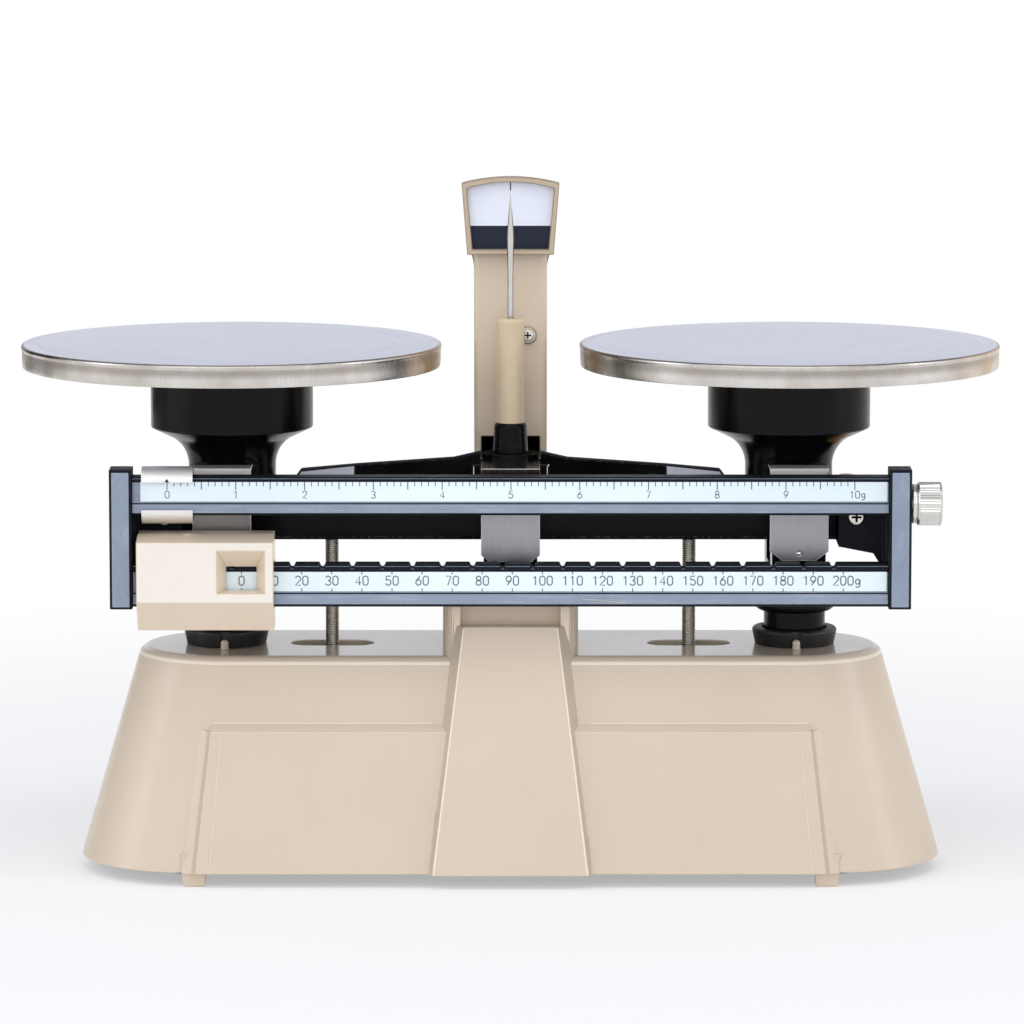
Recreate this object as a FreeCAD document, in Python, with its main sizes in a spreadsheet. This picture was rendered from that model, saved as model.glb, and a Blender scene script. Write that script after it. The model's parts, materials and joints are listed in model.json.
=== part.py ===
import FreeCAD, Part
import math
import os
from collections import namedtuple

import Sketcher
from FreeCAD import Vector

# Two-pan trip balance with two sliding weights, in millimetres.
# +X runs along the beams to the right, +Y to the back, +Z up; the feet stand on Z = 0.

doc = FreeCAD.newDocument("TripBalance")

SIZES = {
    # linkage: the arms of the main beam and of the check beam below it
    "armReach": 102.0,
    "panInset": 2.4,
    "checkHeight": 30.0,
    "swingAngle": 3.3,
    "stopGap": 0.4,
    "runningGap": 0.05,
    "freeGap": 0.4,
    # base housing
    "shellBottom": 5.0,
    "shellHeight": 76.2,
    "baseOver": 52.5,
    "baseDepth": 84.0,
    "deckOver": 30.5,
    "deckDepth": 64.0,
    "shellWall": 3.0,
    "deckRound": 3.0,
    "panelProud": 2.6,
    "panelHeight": 52.8,
    "panelBevel": 2.8,
    "panelOver": 4.0,
    "panelSplay": 5.8,
    "buttressRise": 10.8,
    "buttressHalfTop": 16.8,
    "buttressHalfFoot": 27.5,
    "buttressRootTop": 21.6,
    "buttressRootFoot": 29.3,
    "buttressOverTop": 2.2,
    "buttressOverFoot": 6.0,
    "buttressFlankTop": 6.0,
    "buttressFlankFoot": 5.0,
    "pedestalRise": 8.0,
    "pedestalHalfWidth": 24.0,
    "pedestalInset": 0.5,
    "pedestalRound": 5.5,
    "pedestalEdge": 1.5,
    "ledgeCut": 4.0,
    "ledgeHalfWidth": 17.7,
    "footOver": 10.2,
    "footInset": 3.4,
    "footWidthTop": 9.2,
    "footWidthBottom": 7.8,
    "footDepthTop": 6.8,
    "footDepthBottom": 5.4,
    "footRoot": 7.0,
    "slotLength": 29.7,
    "slotWidth": 12.8,
    "stemGap": 1.5,
    "pegDiameter": 2.8,
    "pegHeight": 3.5,
    "pegGap": 0.45,
    "postGap": 5.0,
    "postDiameter": 9.0,
    "bottomSheet": 1.5,
    # stem collars
    "collarHeight": 6.0,
    "collarGap": 0.7,
    "collarWall": 2.45,
    "collarFlare": 1.0,
    "collarLip": 1.2,
    "collarNotch": 4.0,
    # main beam
    "beamThickness": 22.0,
    "beamBelow": 8.0,
    "beamAbove": 8.0,
    "beamOver": 29.0,
    "neckInset": 21.5,
    "wingRamp": 5.5,
    "wingRootRise": 8.0,
    "wingRun": 19.5,
    "wingMidRise": 1.9,
    "wingTipRise": 2.4,
    "wingTipRun": 9.7,
    "wingPeakRise": 2.2,
    "wingHalfWeb": 3.0,
    "wingPocketGap": 2.9,
    "notchHalf": 10.6,
    "notchRise": 11.3,
    "bossDiameter": 19.8,
    "bossRise": 3.0,
    "beamPocketDepth": 11.0,
    "beamRib": 4.0,
    "beamHubHalf": 15.0,
    "rodBossHalf": 7.0,
    "beamEdge": 1.0,
    # knives and bearings
    "knifeHalfAngle": 30.0,
    "grooveHalfAngle": 60.0,
    "knifeNose": 0.3,
    "knifeHeight": 7.0,
    "fulcrumKnifeHeight": 8.0,
    "bearingHalf": 6.0,
    "bearingBody": 6.0,
    "knifeEndGap": 1.4,
    "knifeSeat": 0.02,
    # pan supports and stems
    "yokeGap": 1.4,
    "yokeBar": 10.0,
    "neckRise": 8.6,
    "shoulderRise": 10.0,
    "skirtRise": 3.7,
    "drumHeight": 28.8,
    "supportDiameter": 58.0,
    "shoulderDiameter": 42.6,
    "neckDiameter": 31.2,
    "cupDepth": 18.5,
    "cupWall": 3.6,
    "spigotDiameter": 12.0,
    "spigotLength": 12.0,
    "spigotWall": 3.2,
    "yokeWidth": 19.0,
    "yokeSide": 4.0,
    "yokeLeg": 16.0,
    "yokeBridge": 10.0,
    "bridgeGap": 10.0,
    "windowGap": 0.8,
    "stemFlangeOver": 3.5,
    "stemFlangeHeight": 6.5285,
    "stemFlangeRound": 2.6,
    "stemDiameter": 22.0,
    "stemBelowPin": 9.0,
    "forkAbovePin": 14.0,
    "stemPinDiameter": 5.0,
    # pans
    "panDiameter": 150.0,
    "panSkirt": 8.0,
    "panSheet": 1.0,
    "panEdge": 1.6,
    # knife covers
    "coverSheet": 0.9,
    "coverOver": 0.9,
    "coverCornerHeight": 3.3,
    "coverFlat": 12.0,
    "coverFlangeDepth": 14.6,
    "rivetDrop": 2.2,
    "rivetMargin": 2.6,
    "rivetDiameter": 2.8,
    "rivetDome": 1.0,
    "rivetShank": 1.6,
    "rivetLength": 5.0,
    "hornReach": 6.0,
    "fulcrumCoverDrop": 13.0,
    "fulcrumCoverFlat": 15.0,
    "fulcrumCornerHeight": 2.4,
    # fulcrum stand and pointer tower
    "standWidth": 19.0,
    "standFootWidth": 38.0,
    "standFootInset": 1.5,
    "standFootHeight": 4.0,
    "standGap": 8.0,
    "standAbove": 5.0,
    "standFrontInset": 1.0,
    "standSide": 3.0,
    "standLeg": 13.0,
    "bearingSeatDepth": 6.0,
    "towerWidth": 26.2,
    "towerSide": 2.0,
    "towerWall": 2.6,
    "towerGap": 1.0,
    "towerHeight": 107.0,
    "towerEdge": 2.0,
    "towerFlare": 1.2,
    "towerFlareHeight": 5.7,
    "gateRise": 3.9,
    "towerGateHalf": 10.4,
    "tongueWidth": 18.8,
    "tongueThickness": 3.0,
    "panelScrewReach": 6.2,
    "panelScrewRise": 57.0,
    "panelScrewBoss": 6.4,
    "panelScrewBossHeight": 1.0,
    # dial
    "dialDepth": 5.0,
    "dialOver": 7.2,
    "dialCrown": 2.3,
    "dialHeight": 25.6,
    "dialHalfTop": 17.5,
    "dialHalfBottom": 15.5,
    "dialRim": 1.85,
    "dialBack": 1.4,
    "dialPlateThickness": 0.8,
    # pointer
    "hubHeight": 10.6,
    "hubDiameterTop": 11.6,
    "hubDiameterFoot": 12.7,
    "hubEdge": 1.3,
    "sleeveLength": 37.4,
    "sleeveDiameter": 9.8,
    "sleeveEdge": 0.8,
    "needleDiameter": 2.0,
    "needleTipGap": 2.7,
    "needleSeat": 12.0,
    "spearPoint": 16.2,
    "spearTaper": 14.0,
    "spearWidth": 2.7,
    "spearThickness": 0.9,
    # front frame: end brackets, rails and scales
    "frameGap": 7.0,
    "capDepth": 12.0,
    "capGap": 1.7,
    "capWidth": 7.9,
    "capOverTop": 2.7,
    "capOverFoot": 0.6,
    "capEdge": 1.0,
    "armInset": 1.1,
    "armAbove": 10.0,
    "armBelow": 15.5,
    "lugOver": 14.0,
    "lugBelow": 7.8,
    "kneeInset": 3.3,
    "kneeBelow": 10.2,
    "lugFrontInset": 1.0,
    "railInset": 2.0,
    "railDepth": 7.2,
    "railLip": 0.4,
    "railEdge": 0.6,
    "railRebate": 0.5,
    "lowerRailDrop": 26.8,
    "lowerRailHeight": 15.2,
    "railSpacing": 17.2,
    "upperRailHeight": 13.7,
    "upperScaleInset": 1.8,
    "lowerScaleInset": 2.7,
    "scaleHeight": 7.7,
    "scaleThickness": 0.5,
    "scaleLeftGap": 3.0,
    "scaleRightGap": 0.6,
    "notchInset": 33.2,
    "notchEnd": 19.3,
    "notchCount": 21,
    "notchWide": 2.3,
    "notchNarrow": 0.9,
    "notchDepth": 1.5,
    # poise and rider
    "poiseGap": 1.7,
    "poiseWidth": 48.0,
    "poiseFrontDepth": 6.8,
    "poiseBackGap": 3.0,
    "poiseAbove": 10.4,
    "poiseBelow": 8.3,
    "poiseBrowDrop": 1.9,
    "poiseBrowInset": 8.0,
    "poiseFoldRise": 10.8,
    "poiseKeelInset": 7.0,
    "poiseSheet": 1.0,
    "poiseWall": 3.0,
    "poiseRoof": 3.4,
    "pawlWidth": 14.0,
    "pawlNose": 1.8,
    "pawlDepth": 5.0,
    "pawlShoulder": 4.0,
    "windowInset": 11.4,
    "windowHalf": 5.2,
    "windowFlare": 3.3,
    "windowSill": 1.5,
    "windowHead": 1.9,
    "windowFlareFoot": 0.6,
    "windowFlareTop": 6.5,
    "riderGap": 12.4,
    "riderWidth": 18.0,
    "riderSheet": 0.74,
    "riderClear": 0.5,
    "riderLipTop": 1.9,
    "riderLipFoot": 2.1,
    "riderNick": 1.0,
    # zero nut, counterweight and stop rods
    "zeroRise": 3.8,
    "studDiameter": 4.0,
    "studDepth": 6.0,
    "studReach": 8.0,
    "ringDiameter": 14.0,
    "ringLength": 1.6,
    "knobDiameter": 15.4,
    "knobLength": 8.6,
    "knobEnd": 1.5,
    "knobRound": 0.8,
    "weightDiameter": 19.0,
    "weightLength": 29.67,
    "weightOver": 20.5,
    "weightEdge": 1.0,
    "rodInset": 38.0,
    "rodDiameter": 5.0,
    "rodDepth": 10.0,
    "rodTail": 4.0,
    "washerDiameter": 18.0,
    "washerThickness": 1.4,
    "nutAcrossFlats": 8.0,
    "nutHeight": 4.0,
    # check link
    "bracketWidth": 24.0,
    "bracketHalfInner": 9.0,
    "bracketSheet": 4.0,
    "checkPinDiameter": 6.0,
    "checkPinOver": 1.2,
    "checkBeamThickness": 12.0,
    "checkEndRadius": 7.5,
    "checkHubRadius": 10.0,
    "checkBarHalf": 5.0,
    "bushWall": 2.0,
    # fasteners
    "screwShank": 4.0,
    "screwHead": 6.0,
    "screwHeadHeight": 2.2,
    "screwLength": 9.0,
    "screwHoleGap": 0.05,
    "smallShank": 2.5,
    "smallHead": 4.2,
    "smallHeadHeight": 1.3,
    "smallLength": 5.0,
    "crownShare": 0.6,
    "armScrewLength": 27.0,
    "railScrewLength": 14.0,
    "standScrewX": 14.4,
    "standScrewY": 20.0,
    "bracketScrewX": 7.0,
    "armScrewOver": 20.2,
    "armScrewRise": 3.0,
}


class Size:
    # A number that keeps the spreadsheet formula it comes from.

    def __init__(self, value, formula):
        self.value = value
        self.formula = formula

    def __add__(self, other):
        other = as_size(other)
        return Size(self.value + other.value, f"({self.formula} + {other.formula})")

    def __sub__(self, other):
        other = as_size(other)
        return Size(self.value - other.value, f"({self.formula} - {other.formula})")

    def __mul__(self, other):
        other = as_size(other)
        return Size(self.value * other.value, f"({self.formula} * {other.formula})")

    def __truediv__(self, other):
        other = as_size(other)
        return Size(self.value / other.value, f"({self.formula} / {other.formula})")

    def __radd__(self, other):
        return as_size(other) + self

    def __rsub__(self, other):
        return as_size(other) - self

    def __rmul__(self, other):
        return as_size(other) * self

    def __neg__(self):
        return Size(-self.value, f"(0 - {self.formula})")


def as_size(number):
    return number if isinstance(number, Size) else Size(float(number), repr(float(number)))


def sine(angle):
    return Size(math.sin(math.radians(angle.value)), f"sin({angle.formula} * 1deg)")


def cosine(angle):
    return Size(math.cos(math.radians(angle.value)), f"cos({angle.formula} * 1deg)")


class Dimensions:
    # Every named size of the sheet, as d.name.

    def __init__(self, sizes):
        self.sheet = doc.addObject("Spreadsheet::Sheet", "Sizes")
        self.rows = 0
        for name, number in sizes.items():
            self.write(name, str(number), float(number))

    def write(self, name, content, value):
        self.rows += 1
        self.sheet.set(f"A{self.rows}", name)
        self.sheet.set(f"B{self.rows}", content)
        self.sheet.setAlias(f"B{self.rows}", name)
        setattr(self, name, Size(value, f"Sizes.{name}"))

    def derive(self, **sizes):
        # Add rows that are worked out from earlier ones.
        for name, size in sizes.items():
            self.write(name, "=" + size.formula.replace("Sizes.", ""), size.value)


d = Dimensions(SIZES)

# Along the beam, outward from the middle.
d.derive(
    panReach=d.armReach - d.panInset,
    baseLength=(d.armReach + d.baseOver) * 2,
    deckLength=(d.armReach + d.deckOver) * 2,
    panelHalfTop=d.armReach + d.panelOver,
    panelHalfFoot=d.armReach + d.panelOver + d.panelSplay,
    footReach=d.armReach + d.footOver,
    stemHole=d.stemDiameter + d.stemGap * 2,
    rodReach=d.armReach - d.rodInset,
    beamEnd=d.armReach + d.beamOver,
    beamNeck=d.armReach - d.neckInset,
    wingTipReach=d.notchHalf + d.wingTipRun,
    wingPocketEnd=d.notchHalf + d.wingPocketGap,
    lugInner=d.armReach + d.lugOver,
    weightReach=d.armReach + d.weightOver,
    armScrewReach=d.armReach + d.armScrewOver,
    coverWidth=d.yokeWidth + d.coverOver * 2,
    collarBore=d.stemDiameter + d.collarGap * 2,
    stemFlange=d.stemDiameter + d.stemFlangeOver * 2,
)
d.derive(
    postReach=d.armReach + d.stemHole / 2 + d.postGap + d.postDiameter / 2,
    wingRootReach=d.beamNeck - d.wingRamp,
    wingMidReach=d.beamNeck - d.wingRamp - d.wingRun,
    collarFoot=d.collarBore + d.collarWall * 2,
    collarTop=d.collarBore + (d.collarWall + d.collarFlare) * 2,
    capInner=d.beamEnd + d.capGap,
    capOuter=d.beamEnd + d.capGap + d.capWidth,
)
d.derive(
    pegReach=d.collarTop / 2 + d.pegGap,
    armInner=d.capInner - d.armInset,
    lugKnee=d.capInner - d.armInset - d.kneeInset,
    poiseLeft=d.poiseGap - d.capInner,
    poiseRight=d.poiseGap - d.capInner + d.poiseWidth,
    riderCentre=d.riderGap - d.capInner,
)
d.derive(
    windowCentre=d.poiseRight - d.windowInset,
    notchStart=d.poiseLeft + d.notchInset,
    knobStart=d.capOuter + d.freeGap + d.ringLength + d.runningGap,
)
d.derive(notchPitch=(d.capInner - d.notchEnd - d.notchStart) / (d.notchCount - 1))

# From the middle plane to the front and the back.
d.derive(
    halfBeam=d.beamThickness / 2,
    yokeInner=d.beamThickness / 2 + d.yokeSide,
    standInner=d.beamThickness / 2 + d.standSide,
    standRear=d.beamThickness / 2 + d.standSide + d.standLeg,
    towerFront=d.beamThickness / 2 + d.towerSide,
    pedestalHalfDepth=d.deckDepth / 2 - d.pedestalInset,
    buttressReachTop=d.deckDepth / 2 + d.buttressOverTop,
    buttressReachFoot=d.baseDepth / 2 + d.buttressOverFoot,
    footSpread=d.baseDepth / 2 - d.footInset,
)
d.derive(
    yokeHalfDepth=d.yokeInner + d.yokeLeg,
    towerBack=d.standRear + d.tongueThickness,
    dialFront=d.towerFront - d.dialDepth,
    ledgeDepth=d.pedestalHalfDepth - d.ledgeCut,
    standFootDepth=(d.pedestalHalfDepth - d.standFootInset) * 2,
)
d.derive(
    coverOuter=d.yokeHalfDepth + d.coverSheet,
    knifeEnd=d.yokeHalfDepth - d.knifeEndGap,
    standFront=d.yokeHalfDepth - d.standFrontInset,
    lugFront=d.yokeHalfDepth - d.lugFrontInset,
    capBack=d.yokeHalfDepth + d.frameGap,
    capFront=d.yokeHalfDepth + d.frameGap + d.capDepth,
    railBack=d.yokeHalfDepth + d.frameGap + d.railInset,
)
d.derive(
    railFace=d.railBack + d.railDepth,
    railMid=-(d.railBack + d.railDepth / 2),
    poiseBack=d.railBack - d.poiseBackGap,
    poiseFront=d.railBack + d.railDepth + d.poiseFrontDepth,
    riderBend=d.railDepth / 2 + d.railLip + d.riderClear + d.riderSheet,
)
d.derive(
    poiseBrowDepth=d.poiseFront - d.poiseBrowInset,
    poiseKeel=d.poiseFront - d.poiseKeelInset,
)

# Upward from the floor: base, linkage, then all that the beam carries.
d.derive(
    deckHeight=d.shellBottom + d.shellHeight,
    deckUnder=d.shellBottom + d.shellHeight - d.shellWall,
    panelTop=d.shellBottom + d.panelHeight,
    plateTop=d.shellBottom + d.bottomSheet,
    footTop=d.shellBottom + d.footRoot,
    swingDrop=d.armReach * sine(d.swingAngle),
)
d.derive(
    collarRim=d.deckHeight + d.collarHeight,
    buttressTop=d.deckHeight + d.buttressRise,
    washerTop=d.deckUnder - (d.rodReach + d.washerDiameter / 2) * sine(d.swingAngle) - d.stopGap,
)
d.derive(
    pedestalTop=d.buttressTop + d.pedestalRise,
    flangeBottom=d.collarRim + d.swingDrop + d.stopGap,
)
d.derive(yokeBottom=d.flangeBottom + d.stemFlangeHeight)
d.derive(yokeBridgeTop=d.yokeBottom + d.yokeBridge)
d.derive(beamBottom=d.yokeBridgeTop + d.bridgeGap)
d.derive(fulcrumHeight=d.beamBottom + d.beamBelow)
d.derive(
    beamEndTop=d.fulcrumHeight + d.beamAbove,
    beamPocketTop=d.beamBottom + d.beamPocketDepth,
    windowBottom=d.fulcrumHeight - d.knifeHeight - d.windowGap,
    fulcrumCoverBottom=d.fulcrumHeight - d.fulcrumCoverDrop,
    standFootTop=d.pedestalTop + d.standFootHeight,
    standBlockTop=d.beamBottom - d.standGap,
    standTop=d.fulcrumHeight + d.standAbove,
    bearingSeat=d.fulcrumHeight - d.bearingSeatDepth,
    armTop=d.fulcrumHeight + d.armAbove,
    armBottom=d.fulcrumHeight - d.armBelow,
    lugBottom=d.fulcrumHeight - d.lugBelow,
    lugKneeBottom=d.fulcrumHeight - d.kneeBelow,
    armScrewHeight=d.fulcrumHeight + d.armScrewRise,
    lowerRailBottom=d.fulcrumHeight - d.lowerRailDrop,
)
d.derive(
    wingRootTop=d.beamEndTop + d.wingRootRise,
    wingMidTop=d.beamEndTop + d.wingRootRise + d.wingMidRise,
    notchFloor=d.beamEndTop + d.notchRise,
    yokeBarBottom=d.beamEndTop + d.yokeGap,
    rivetHeight=d.windowBottom - d.rivetDrop,
    coverBottom=d.windowBottom - d.rivetDrop - d.rivetMargin,
    towerScrewLow=d.standFootTop + (d.bearingSeat - d.standFootTop) / 4,
    towerScrewHigh=d.bearingSeat - (d.bearingSeat - d.standFootTop) / 4,
    towerBottom=d.standTop + d.towerGap,
    lowerRailTop=d.lowerRailBottom + d.lowerRailHeight,
    capBottom=d.lowerRailBottom - d.capOverFoot,
    poiseBottom=d.lowerRailBottom - d.poiseBelow,
)
d.derive(
    wingTipTop=d.wingMidTop + d.wingTipRise,
    wingPeak=d.wingMidTop + d.wingTipRise + d.wingPeakRise,
    bossTop=d.notchFloor + d.bossRise,
    yokeTop=d.yokeBarBottom + d.yokeBar,
    neckHeight=d.yokeBarBottom + d.neckRise,
    towerTop=d.towerBottom + d.towerHeight,
    panelScrewHeight=d.towerBottom + d.panelScrewRise,
    upperRailBottom=d.lowerRailTop + d.railSpacing,
    lowerScaleTop=d.lowerRailTop - d.lowerScaleInset,
    lowerScaleBottom=d.lowerRailTop - d.lowerScaleInset - d.scaleHeight,
    poiseFold=d.poiseBottom + d.poiseFoldRise,
    poiseTop=d.lowerRailTop + d.poiseAbove,
)
d.derive(
    towerGateTop=d.bossTop + d.gateRise,
    hubTop=d.bossTop + d.hubHeight,
    sleeveTop=d.bossTop + d.hubHeight + d.sleeveLength,
    shoulderHeight=d.neckHeight + d.shoulderRise,
    supportSkirt=d.neckHeight + d.shoulderRise + d.skirtRise,
    supportTop=d.neckHeight + d.shoulderRise + d.skirtRise + d.drumHeight,
    dialPeak=d.towerTop + d.dialOver,
    dialShoulder=d.towerTop + d.dialOver - d.dialCrown,
    dialBottom=d.towerTop + d.dialOver - d.dialCrown - d.dialHeight,
    upperRailTop=d.upperRailBottom + d.upperRailHeight,
    zeroHeight=d.upperRailBottom + d.zeroRise,
    riderLow=d.upperRailBottom + d.riderLipFoot,
    windowInnerBottom=d.lowerScaleBottom + d.windowSill,
    windowInnerTop=d.lowerScaleTop + d.windowHead,
    poiseBrow=d.poiseTop - d.poiseBrowDrop,
    chamberTop=d.poiseTop - d.poiseRoof,
)
d.derive(
    needleTip=d.dialShoulder - d.needleTipGap,
    spearWide=d.dialShoulder - d.needleTipGap - d.spearPoint,
    spearFoot=d.dialShoulder - d.needleTipGap - d.spearPoint - d.spearTaper,
    capTop=d.upperRailTop + d.capOverTop,
    upperScaleTop=d.upperRailTop - d.upperScaleInset,
    upperScaleBottom=d.upperRailTop - d.upperScaleInset - d.scaleHeight,
    riderHigh=d.upperRailTop - d.riderLipTop,
)
doc.recompute()

nodes = []
Arc = namedtuple("Arc", "u v turn")
Ring = namedtuple("Ring", "u v radius")
Fastener = namedtuple("Fastener", "shank head height length")

FRAME_SCREW = Fastener(d.screwShank, d.screwHead, d.screwHeadHeight, d.screwLength)
ARM_SCREW = FRAME_SCREW._replace(length=d.armScrewLength)
PANEL_SCREW = Fastener(d.smallShank, d.smallHead, d.smallHeadHeight, d.smallLength)
RAIL_SCREW = PANEL_SCREW._replace(length=d.railScrewLength)
HEXAGON_CORNER = 2 / math.sqrt(3)  # corner reach over half the width across flats

# Sketch axes of each plane: XY is (X, Y) facing +Z, XZ is (X, Z) facing -Y, YZ is (Y, Z) facing +X.
FACES_BACKWARD = {"XY": False, "XZ": True, "YZ": False}


def bind(item, path, size):
    item.setExpression(path, as_size(size).formula)


def node(item, label):
    item.Label = label
    nodes.append(item)
    return item


def new_body(name):
    return doc.addObject("PartDesign::Body", name)


def set_distance(sketch, kind, geometry, point, size):
    number = sketch.addConstraint(Sketcher.Constraint(kind, -1, 1, geometry, point, size.value))
    bind(sketch, f"Constraints[{number}]", size)


def draw_ring(sketch, ring):
    u, v, radius = (as_size(part) for part in ring)
    circle = Part.Circle(Vector(u.value, v.value, 0), Vector(0, 0, 1), radius.value)
    geometry = sketch.addGeometry(circle)
    set_distance(sketch, "DistanceX", geometry, 3, u)
    set_distance(sketch, "DistanceY", geometry, 3, v)
    number = sketch.addConstraint(Sketcher.Constraint("Radius", geometry, radius.value))
    bind(sketch, f"Constraints[{number}]", radius)


def split_loop(loop):
    corners, bends = [], {}
    for item in loop:
        if isinstance(item, Arc):
            bends[len(corners) - 1] = item
        else:
            corners.append((as_size(item[0]), as_size(item[1])))
    return corners, bends


def arc_between(start, end, centre, turn):
    first, last = (start, end) if turn > 0 else (end, start)
    angles = [math.atan2(p.y - centre.y, p.x - centre.x) for p in (first, last)]
    if angles[1] <= angles[0]:
        angles[1] += 2 * math.pi
    circle = Part.Circle(centre, Vector(0, 0, 1), (start - centre).Length)
    return Part.ArcOfCircle(circle, *angles)


def draw_loop(sketch, loop):
    corners, bends = split_loop(loop)
    spots = [Vector(u.value, v.value, 0) for u, v in corners]
    ends = []
    for index, start in enumerate(spots):
        end = spots[(index + 1) % len(spots)]
        bend = bends.get(index)
        if bend is None:
            ends.append((sketch.addGeometry(Part.LineSegment(start, end)), 1, 2))
            continue
        u, v = as_size(bend.u), as_size(bend.v)
        shape = arc_between(start, end, Vector(u.value, v.value, 0), bend.turn)
        geometry = sketch.addGeometry(shape)
        ends.append((geometry, 1, 2) if bend.turn > 0 else (geometry, 2, 1))
        chord = end - start
        if abs(chord.y) >= abs(chord.x):
            set_distance(sketch, "DistanceX", geometry, 3, u)
        else:
            set_distance(sketch, "DistanceY", geometry, 3, v)
    for index, (geometry, head, tail) in enumerate(ends):
        following, first, _ = ends[(index + 1) % len(ends)]
        sketch.addConstraint(Sketcher.Constraint("Coincident", geometry, tail, following, first))
        u, v = corners[index]
        set_distance(sketch, "DistanceX", geometry, head, u)
        set_distance(sketch, "DistanceY", geometry, head, v)


def draw(body, name, plane, loops, offset=(0, 0, 0)):
    sketch = body.newObject("Sketcher::SketchObject", name)
    origin = [item for item in body.Origin.OriginFeatures if item.Role == plane + "_Plane"][0]
    sketch.AttachmentSupport = [(origin, "")]
    sketch.MapMode = "FlatFace"
    for axis, size in zip("xyz", offset):
        bind(sketch, f"AttachmentOffset.Base.{axis}", size)
    for loop in loops:
        if isinstance(loop, Ring):
            draw_ring(sketch, loop)
        else:
            draw_loop(sketch, loop)
    return sketch


def add(body, name, plane, loops, low, high):
    # Pad the loops from low to high along the plane's own axis.
    start = -as_size(high) if FACES_BACKWARD[plane] else low
    sketch = draw(body, name + "_sketch", plane, loops, (0, 0, start))
    feature = body.newObject("PartDesign::Pad", name)
    feature.Profile = sketch
    bind(feature, "Length", as_size(high) - low)
    return feature


def cut(body, name, plane, loops, low, high):
    # Pocket the loops from low to high along the plane's own axis.
    start = -as_size(low) if FACES_BACKWARD[plane] else high
    sketch = draw(body, name + "_sketch", plane, loops, (0, 0, start))
    feature = body.newObject("PartDesign::Pocket", name)
    feature.Profile = sketch
    bind(feature, "Length", as_size(high) - low)
    return feature


def revolve(body, name, axis, centre, outline, kind="Revolution"):
    # Turn an outline of (along, radius) points about a line parallel to X, Y or Z.
    first, second = centre
    if axis == "Z":
        plane, offset, side = "XZ", (first, 0, -as_size(second)), "V_Axis"
        loop = [Arc(p.v, p.u, -p.turn) if isinstance(p, Arc) else (p[1], p[0]) for p in outline]
    elif axis == "X":
        plane, offset, side, loop = "XZ", (0, second, -as_size(first)), "H_Axis", outline
    else:
        plane, offset, side, loop = "YZ", (0, second, first), "H_Axis", outline
    sketch = draw(body, name + "_sketch", plane, [loop], offset)
    feature = body.newObject("PartDesign::" + kind, name)
    feature.Profile = sketch
    feature.ReferenceAxis = (sketch, [side])
    feature.Angle = 360
    return feature


def loft(body, name, sections, kind="AdditiveLoft"):
    feature = body.newObject("PartDesign::" + kind, name)
    feature.Profile = sections[0]
    feature.Sections = sections[1:]
    feature.Ruled = True
    return feature


def dress(body, name, kind, size, wanted):
    # Fillet or chamfer the edges of the tip that the test picks.
    doc.recompute()
    tip = body.Tip
    picked = [f"Edge{i}" for i, edge in enumerate(tip.Shape.Edges, start=1) if wanted(edge)]
    feature = body.newObject("PartDesign::" + kind, name)
    feature.Base = (tip, picked)
    bind(feature, "Radius" if kind == "Fillet" else "Size", size)
    return feature


def rectangle(left, right, low, high):
    return [(left, low), (right, low), (right, high), (left, high)]


def stadium(half_length, radius, u=0, v=0):
    straight = as_size(half_length) - radius
    return [(u - straight, v - radius), (u + straight, v - radius), Arc(u + straight, v, 1),
            (u + straight, v + radius), (u - straight, v + radius), Arc(u - straight, v, 1)]


def rounded(half_u, half_v, radius, u=0, v=0):
    left, right = u - half_u, u + half_u
    low, high = v - half_v, v + half_v
    return [(left + radius, low), (right - radius, low), Arc(right - radius, low + radius, 1),
            (right, low + radius), (right, high - radius), Arc(right - radius, high - radius, 1),
            (right - radius, high), (left + radius, high), Arc(left + radius, high - radius, 1),
            (left, high - radius), (left, low + radius), Arc(left + radius, low + radius, 1)]


def mirrored_span(side, low, high):
    return (low, high) if side > 0 else (-as_size(high), -as_size(low))


def box(label, x, y, z):
    item = doc.addObject("Part::Box", label)
    for prop, axis, (low, high) in zip(("Length", "Width", "Height"), "xyz", (x, y, z)):
        bind(item, prop, as_size(high) - low)
        bind(item, f"Placement.Base.{axis}", low)
    return item


def group(label, items):
    compound = doc.addObject("Part::Compound", label + "_set")
    compound.Links = items
    return node(compound, label)


def screw(name, axis, centre, seat, into, kind):
    # Pan-head screw: the head's underside at seat, the shank running the way of into.
    top, end = seat - kind.height * into, seat + kind.length * into
    head, shank = kind.head / 2, kind.shank / 2
    outline = [(top, 0), (top, head * d.crownShare), (seat - kind.height * into * d.crownShare, head),
               (seat, head), (seat, shank), (end, shank), (end, 0)]
    body = new_body(name)
    revolve(body, name + "_turning", axis, centre, outline)
    return body


def screw_hole(body, name, axis, centre, seat, into, kind):
    ends = (seat, seat + (kind.length + d.freeGap) * into)
    low, high = ends if into > 0 else ends[::-1]
    plane = {"X": "YZ", "Y": "XZ", "Z": "XY"}[axis]
    cut(body, name, plane, [Ring(centre[0], centre[1], kind.shank / 2 + d.screwHoleGap)], low, high)


# Slopes of the base's front and ends.
shell_slope = (d.baseDepth - d.deckDepth) / 2 / d.shellHeight
end_slope = (d.baseLength - d.deckLength) / 2 / d.shellHeight
DECK_ROUND_STEPS = 4


def shell_front(height):
    # Distance of the base's sloping front from the middle plane at a height.
    return d.baseDepth / 2 - (height - d.shellBottom) * shell_slope


def shell_end(height):
    # Distance of the base's sloping end from the middle at a height.
    return d.baseLength / 2 - (height - d.shellBottom) * end_slope


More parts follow.
